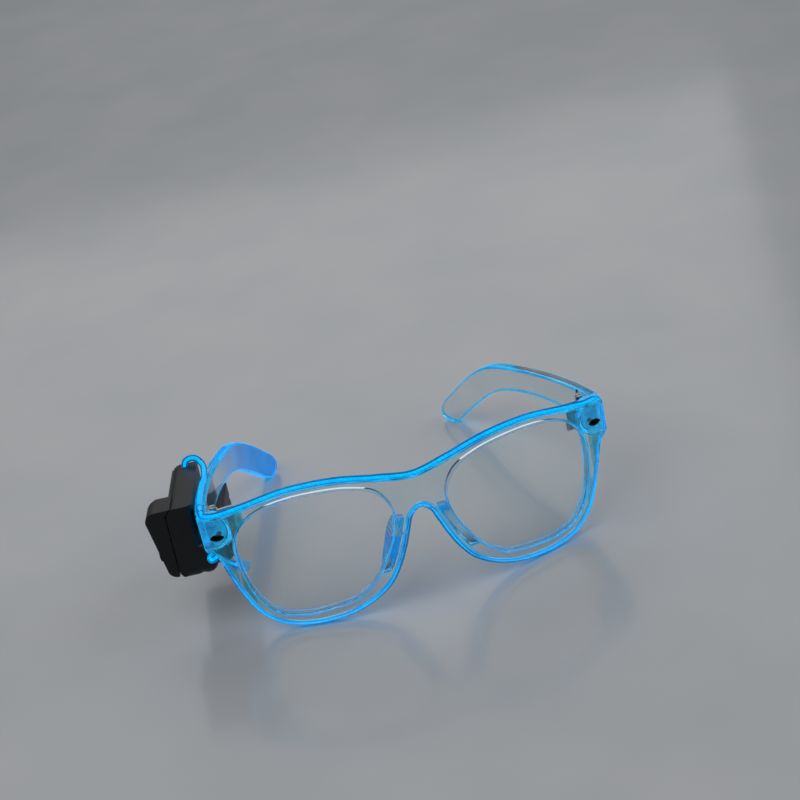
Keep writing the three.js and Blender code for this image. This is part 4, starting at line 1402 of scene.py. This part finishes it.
@dataclass
class GlowWire:
    """The glowing wire: a translucent sheath round a bright core, along the route of the real cord."""

    radius: float = 1.15
    core_radius: float = 0.42
    hair_radius: float = 0.06
    hair_pitch: float = 1.5
    hair_steps: int = 10
    depth: float = 2
    bend_radius: float = 2.7
    sink: float = 0.9
    corner_steps: int = 6
    gap: float = 0.3
    hinge_stand_off: float = 1.9
    bulge_depth: float = 1.95
    drop_height: float = 1.6
    back_gap: float = 1
    tail_inset: float = 13.6
    fall_height: float = 10.1
    top_shares: tuple[float, ...] = (0.22, 0.39, 0.565, 0.717)
    steps: int = 10

    @property
    def flex_start(self) -> float:
        """Y where the stretch across the hinge starts."""
        return FRONT.block_back - self.gap

    @property
    def flex_end(self) -> float:
        """Y where the stretch across the hinge ends."""
        return TEMPLE_START + self.hinge_stand_off * 2

    def on_front(self, shares: Iterable[Flat]) -> list[Point]:
        """Places in the wire's groove for shares of the front's half width and height."""
        return [FRONT.at(s * FRONT.half_width, self.depth, z * FRONT.height) for s, z in shares]

    def front_route(self) -> list[Point]:
        """From the right hinge over the brow, round the left end piece and along the rims to the tail.

        Returns:
            Points in the drawing.
        """
        top, bottom, corner = FRONT.block_top, FRONT.block_bottom, FRONT.block_corner
        brow, lower = self.on_front(FRONT.brow_shares[:-2]), self.on_front(FRONT.lower_shares)
        bend = self.radius * 2
        side_depth = FRONT.block_back - bend
        side = FRONT.side_edge - self.sink
        turn_depth = FRONT.at(FRONT.half_width - self.bend_radius, self.depth, 0)[1]
        around = []
        for i in range(self.corner_steps + 1):
            share = i / self.corner_steps
            angle = (1 - share) * math.pi / 2
            around.append((
                side - self.bend_radius * (1 - math.cos(angle)),
                turn_depth + (side_depth - turn_depth) * share,
                top - self.bend_radius * (1 - math.sin(angle)),
            ))
        first = [
            (-TEMPLE_CENTRE, self.flex_start, top),
            (-TEMPLE_CENTRE + corner / 4, self.flex_start - bend, top),
            FRONT.at(-FRONT.half_width + bend * 2, self.depth, top + self.radius / 4),
        ]
        turn = [
            FRONT.at(FRONT.half_width - bend * 3, self.depth, top + self.radius / 2), *around,
            (side, side_depth, bottom + bend),
            (side - corner / 2, (side_depth + turn_depth) / 2, bottom - corner / 4),
        ]
        return [*first, *flipped(brow), *brow[1:], *turn, *lower, *flipped(lower)[1:], *self.tail_route()]

    def tail_route(self) -> list[Point]:
        """The free end, bent back under the right end piece.

        Returns:
            Points in the drawing.
        """
        bend = self.radius * 2
        edge = -FRONT.side_edge + FRONT.block_corner
        start = FRONT.edge_depth - self.bulge_depth
        behind = FRONT.block_back - self.back_gap
        low = FRONT.block_bottom - self.drop_height
        end = -FRONT.half_width + self.tail_inset
        end_height = FRONT.block_bottom - self.fall_height
        return [
            (edge, start, low),
            (edge, (start + behind) / 2, low - self.drop_height / 4),
            (edge + bend, behind, low - self.drop_height),
            ((edge + bend + end) / 2, behind, (low - self.drop_height + end_height) / 2),
            (end, behind, end_height),
        ]

    def hinge_route(self) -> list[Point]:
        """Across the right hinge.

        Returns:
            Points in the drawing.
        """
        x, y = temple_place(Side.RIGHT, self.flex_end - TEMPLE_START)
        near = y - self.radius
        return [
            (-TEMPLE_CENTRE, self.flex_start + self.gap, FRONT.block_top),
            ((-TEMPLE_CENTRE * 3 + x) / 4, self.flex_start * 0.75 + self.flex_end * 0.25, FRONT.block_top),
            (x, near, temple_top(near) + self.radius / 2),
            (x, y, temple_top(y) + self.radius / 2),
        ]

    def temple_route(self) -> list[Vector]:
        """Along the right temple's top edge, then over and down into the box.

        Returns:
            Points in the frame, in metres.
        """
        line = []
        start = self.flex_end + self.gap - TEMPLE_START
        for distance in (start, *(share * BOX.length for share in self.top_shares)):
            x, y = temple_place(Side.RIGHT, distance)
            line.append(placed((x, y, temple_top(y) + self.radius / 2)))
        top = BOX.above_temple + self.radius * 2
        entry = BOX.length - BOX.screw_margin / 2
        down = BOX.floor_depth + self.radius * 4
        return [
            *line,
            in_box(BOX.wall - self.radius, entry - self.radius * 5, top - self.radius),
            in_box(BOX.floor_depth, entry - self.radius * 2, top + self.radius / 2),
            in_box(BOX.floor_depth + self.radius * 3, entry, top - self.radius / 2),
            in_box(down, entry, BOX.above_temple - BOX.wall),
            in_box(down, entry, BOX.above_temple - BOX.wall * 2),
        ]

    def build(self) -> None:
        """Makes the three stretches of the wire, each a sheath, a core and its winding."""
        hinge = [placed(point) for point in self.hinge_route()]
        for name, route, body in (
            ("front", [placed(point) for point in self.front_route()], Body.FRONT),
            ("hinge", hinge, None),
            ("temple", self.temple_route(), Body.RIGHT_TEMPLE),
        ):
            line = catmull(route, self.steps)
            inner = self.shortened(line)
            for piece, finish, node in (
                (tube(f"wire_sheath_{name}", line, self.radius), SHEATH, f"glow_wire_{name}"),
                (tube(f"wire_core_{name}", inner, self.core_radius), PHOSPHOR, ""),
                (tube(f"wire_winding_{name}", self.winding(inner), self.hair_radius, 0), HAIR_WIRE, ""),
            ):
                paint(piece, finish)
                if body:
                    finish_piece(piece, body, node)
                else:
                    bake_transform(piece)
                    label(piece, node, "bends across the hinge")

    def winding(self, line: Sequence[Vector]) -> list[Vector]:
        """The path of the hair wire, wound round the core at an even pitch.

        Args:
            line: the core's middle line, in metres.

        Returns:
            Points of the winding, in metres.
        """
        across = (line[1] - line[0]).orthogonal().normalized()
        wound, travelled = [], 0.0
        for here, there in zip(line, line[1:]):
            way = (there - here).normalized()
            across = (across - way * across.dot(way)).normalized()
            length = (there - here).length / MM
            steps = max(1, round(length / self.hair_pitch * self.hair_steps))
            for i in range(steps):
                turn = (travelled + length * i / steps) / self.hair_pitch * math.tau
                reach = across * math.cos(turn) + way.cross(across) * math.sin(turn)
                wound.append(here.lerp(there, i / steps) + reach * self.core_radius * MM)
            travelled += length
        return wound

    def shortened(self, line: list[Vector]) -> list[Vector]:
        """Draws a line in a little at both ends, so that the core stays inside its sheath.

        Args:
            line: the wire's middle line, in metres.

        Returns:
            The shorter line.
        """
        inset = self.gap / 3 * MM
        start, end = (near + (far - near).normalized() * inset for near, far in (line[:2], line[:-3:-1]))
        return [start, *line[1:-1], end]


@dataclass
class TailCap:
    """The sleeve that seals the wire's free end."""

    edge_round: float = 0.3

    def build(self) -> None:
        """Makes the sleeve."""
        piece = refined_copy("wire_tail_cap", "silicone_tail_cap", self.edge_round)
        paint(piece, SLEEVE)
        finish_piece(piece, Body.FRONT, "wire_tail_cap")


@dataclass
class DriverBox:
    """The battery and driver box on the right temple."""

    case_round: float = 0.45
    cover_round: float = 0.15
    case_steps: int = 3
    nose_round: float = 2.4
    nose_steps: int = 6
    nose_height: float = -9
    small_round: float = 0.15
    recess_reach: float = 0.9
    recess_width: float = 0.35
    recess_depth: float = 0.5
    button_place: Point = (13.524, 7.2, -15.5)
    button_steps: int = 48
    button_profile: tuple[Flat, ...] = (
        (0, 0), (3.15, 0), (3.3, 0.15), (3.3, 0.65), (3.15, 0.8), (2.75, 0.8), (2.6, 0.95), (2.6, 3.85),
        (2.5, 4.08), (2.3, 4.2), (2.05, 4.16), (1.75, 3.98), (1.2, 3.84), (0.6, 3.78), (0, 3.76),
    )
    parts: dict[str, tuple[str, Finish]] = field(default_factory=lambda: {
        "driver_board": ("circuit_board", SOLDER_MASK),
        "driver_transformer": ("transformer", TAPE),
        "tactile_switch": ("switch_body", SWITCH),
        "coin_cell_inner": ("cell_can", CELL_CAN),
        "coin_cell_outer": ("cell_can", CELL_CAN),
        "contact_negative": ("contact_metal", BRONZE),
        "contact_positive": ("contact_metal", BRONZE),
    })

    def build(self) -> None:
        """Makes the box's shells, and what they hold."""
        self.button()
        for end in ("front", "rear"):
            self.screw(f"case_screw_{end}")
        for node in ("box_body", "box_inner_shell", "driver_case", "battery_cover"):
            is_cover = node == "battery_cover"
            piece = refined_copy(node, f"abs_{node}")
            if node == "box_body":
                self.round_nose(piece)
            round_edges(
                piece, self.cover_round if is_cover else self.case_round, self.case_steps, clamp=not is_cover)
            smooth(piece)
            paint(piece, BLACK_ABS)
            finish_piece(piece, Body.COVER if is_cover else Body.RIGHT_TEMPLE, node)
        for node, (slot, finish) in self.parts.items():
            piece = refined_copy(node, f"fine_{node}", self.small_round)
            paint(piece, finish)
            finish_piece(piece, Body.RIGHT_TEMPLE, node)

    def round_nose(self, piece: Piece) -> None:
        """Rounds the lower front edges of the body broadly, as its mould does.

        Args:
            piece: the body, in the frame.
        """
        mesh = piece.data
        inside = BOX_AXES.inverted()
        places = [inside @ vertex.co / MM for vertex in mesh.vertices]
        front = min(place.y for place in places) + self.small_round
        seam = min(place.x for place in places) + self.nose_round
        for group in (mesh.vertices, mesh.edges, mesh.polygons):
            group.foreach_set("select", [False] * len(group))
        for edge in mesh.edges:
            xs, ys, zs = zip(*(places[index] for index in edge.vertices))
            if max(ys) < front and min(zs) < self.nose_height and max(xs) > seam:
                edge.select = True
                for index in edge.vertices:
                    mesh.vertices[index].select = True
        select_only(piece)
        bpy.context.tool_settings.mesh_select_mode = (False, True, False)
        bpy.ops.object.mode_set(mode="EDIT")
        bpy.ops.mesh.bevel(offset=self.nose_round * MM, segments=self.nose_steps, affect="EDGES")
        bpy.ops.object.mode_set(mode="OBJECT")
        bpy.context.tool_settings.mesh_select_mode = (True, False, False)

    def button(self) -> None:
        """Makes the mode button: flanged, with a dished top."""
        piece = lathe("rubber_mode_button", self.button_profile, self.button_steps)
        out, along, up = self.button_place
        place = BOX_AXES @ Matrix.Translation((-out * MM, along * MM, up * MM))
        piece.matrix_world = place @ Matrix.Rotation(-math.pi / 2, 4, "Y")
        settle(piece)
        smooth(piece)
        paint(piece, RUBBER)
        finish_piece(piece, Body.BUTTON, "mode_button")

    def screw(self, node: str) -> None:
        """Makes one case screw, with a cross recess in its head.

        Args:
            node: the screw's node.
        """
        piece = refined_copy(node, f"steel_{node}", self.small_round)
        inside = BOX_AXES.inverted()
        places = [inside @ vertex.co for vertex in piece.data.vertices]
        middle = sum(places, Vector()) / len(places)
        head = max(places, key=lambda place: math.hypot(place.y - middle.y, place.z - middle.z)).x
        end = max(place.x for place in places) if head > middle.x else min(place.x for place in places)
        for reach, width in ((self.recess_reach, self.recess_width), (self.recess_width, self.recess_reach)):
            half = Vector((self.recess_depth, reach, width)) * MM
            bottom = Vector((end, middle.y, middle.z))
            tool = brick(bottom - half, bottom + half)
            tool.matrix_world = BOX_AXES
            settle(tool)
            combine(piece, tool, Operation.CUT)
        smooth(piece)
        paint(piece, NICKEL)
        finish_piece(piece, Body.RIGHT_TEMPLE, node)


# Studio


@dataclass(frozen=True)
class Studio:
    """A pale floor, soft lights and the camera at the photograph's angle."""

    floor_size: float = 6
    focal_pixels: float = 1926.28
    image_pixels: float = 800
    sensor: float = 36
    camera_place: Point = (-80.667, -526.570, 367.669)
    camera_right: Point = (0.9486, -0.252315, -0.191039)
    camera_up: Point = (0.28659, 0.428777, 0.856748)
    clip_start: float = 0.01
    lights: tuple[tuple[str, Point, float, float], ...] = (
        ("key", (-0.45, -0.35, 0.95), 0.9, 2.9),
        ("fill", (0.75, -0.1, 0.7), 0.7, 1.4),
        ("back", (0.1, 0.8, 0.6), 0.8, 1.6),
    )
    world_colour: str = "c3c9d2"
    world_strength: float = 0.11

    def build(self) -> None:
        """Sets up the camera, the floor, the lights and the surroundings."""
        self.camera()
        self.floor()
        for light in self.lights:
            self.light(*light)
        world = bpy.data.worlds.new("soft surroundings")
        world.use_nodes = True
        set_inputs(world.node_tree, world.node_tree.nodes["Background"], {
            "Color": linear(self.world_colour), "Strength": self.world_strength})
        bpy.context.scene.world = world
        # The standard view keeps the wire's blue as saturated as the photograph's.
        bpy.context.scene.view_settings.view_transform = "Standard"

    def camera(self) -> None:
        """Stands the camera where the photograph was taken from."""
        right, up = Vector(self.camera_right).normalized(), Vector(self.camera_up).normalized()
        towards_eye = right.cross(up)
        turn = Matrix((right, towards_eye.cross(right), towards_eye)).transposed().to_4x4()
        data = bpy.data.cameras.new("camera")
        data.sensor_width = self.sensor
        data.lens = self.focal_pixels * self.sensor / self.image_pixels
        data.clip_start = self.clip_start
        eye = add_object("camera", data)
        eye.matrix_world = Matrix.Translation(placed(self.camera_place)) @ turn
        bpy.context.scene.camera = eye

    def floor(self) -> None:
        """Lays the floor under the glasses."""
        bpy.ops.object.select_all(action="DESELECT")
        bpy.ops.mesh.primitive_plane_add(size=self.floor_size, location=(0, 0, CAD_BOUNDS[0][2]))
        plane = bpy.context.object
        plane.name = "studio_floor"
        settle(plane)
        paint(plane, CARD)

    @staticmethod
    def light(name: str, place: Point, size: float, power: float) -> None:
        """Hangs one square soft light that faces the glasses.

        Args:
            name: the light's name.
            place: where it hangs, in metres.
            size: its side in metres.
            power: its power in watts.
        """
        data = bpy.data.lights.new(name, "AREA")
        data.size = size
        data.energy = power
        lamp = add_object(name, data)
        lamp.location = place
        lamp.rotation_euler = (-Vector(place)).to_track_quat("-Z", "Y").to_euler()


def main() -> None:
    """Builds the studio and every sub-assembly, in order."""
    logging.basicConfig(level=logging.INFO, format="%(message)s")
    Studio().build()
    for assembly in (ClearFront, Lenses, Studs, Hinges, Temples, GlowWire, TailCap, DriverBox):
        assembly().build()


if __name__ == "__main__":
    main()
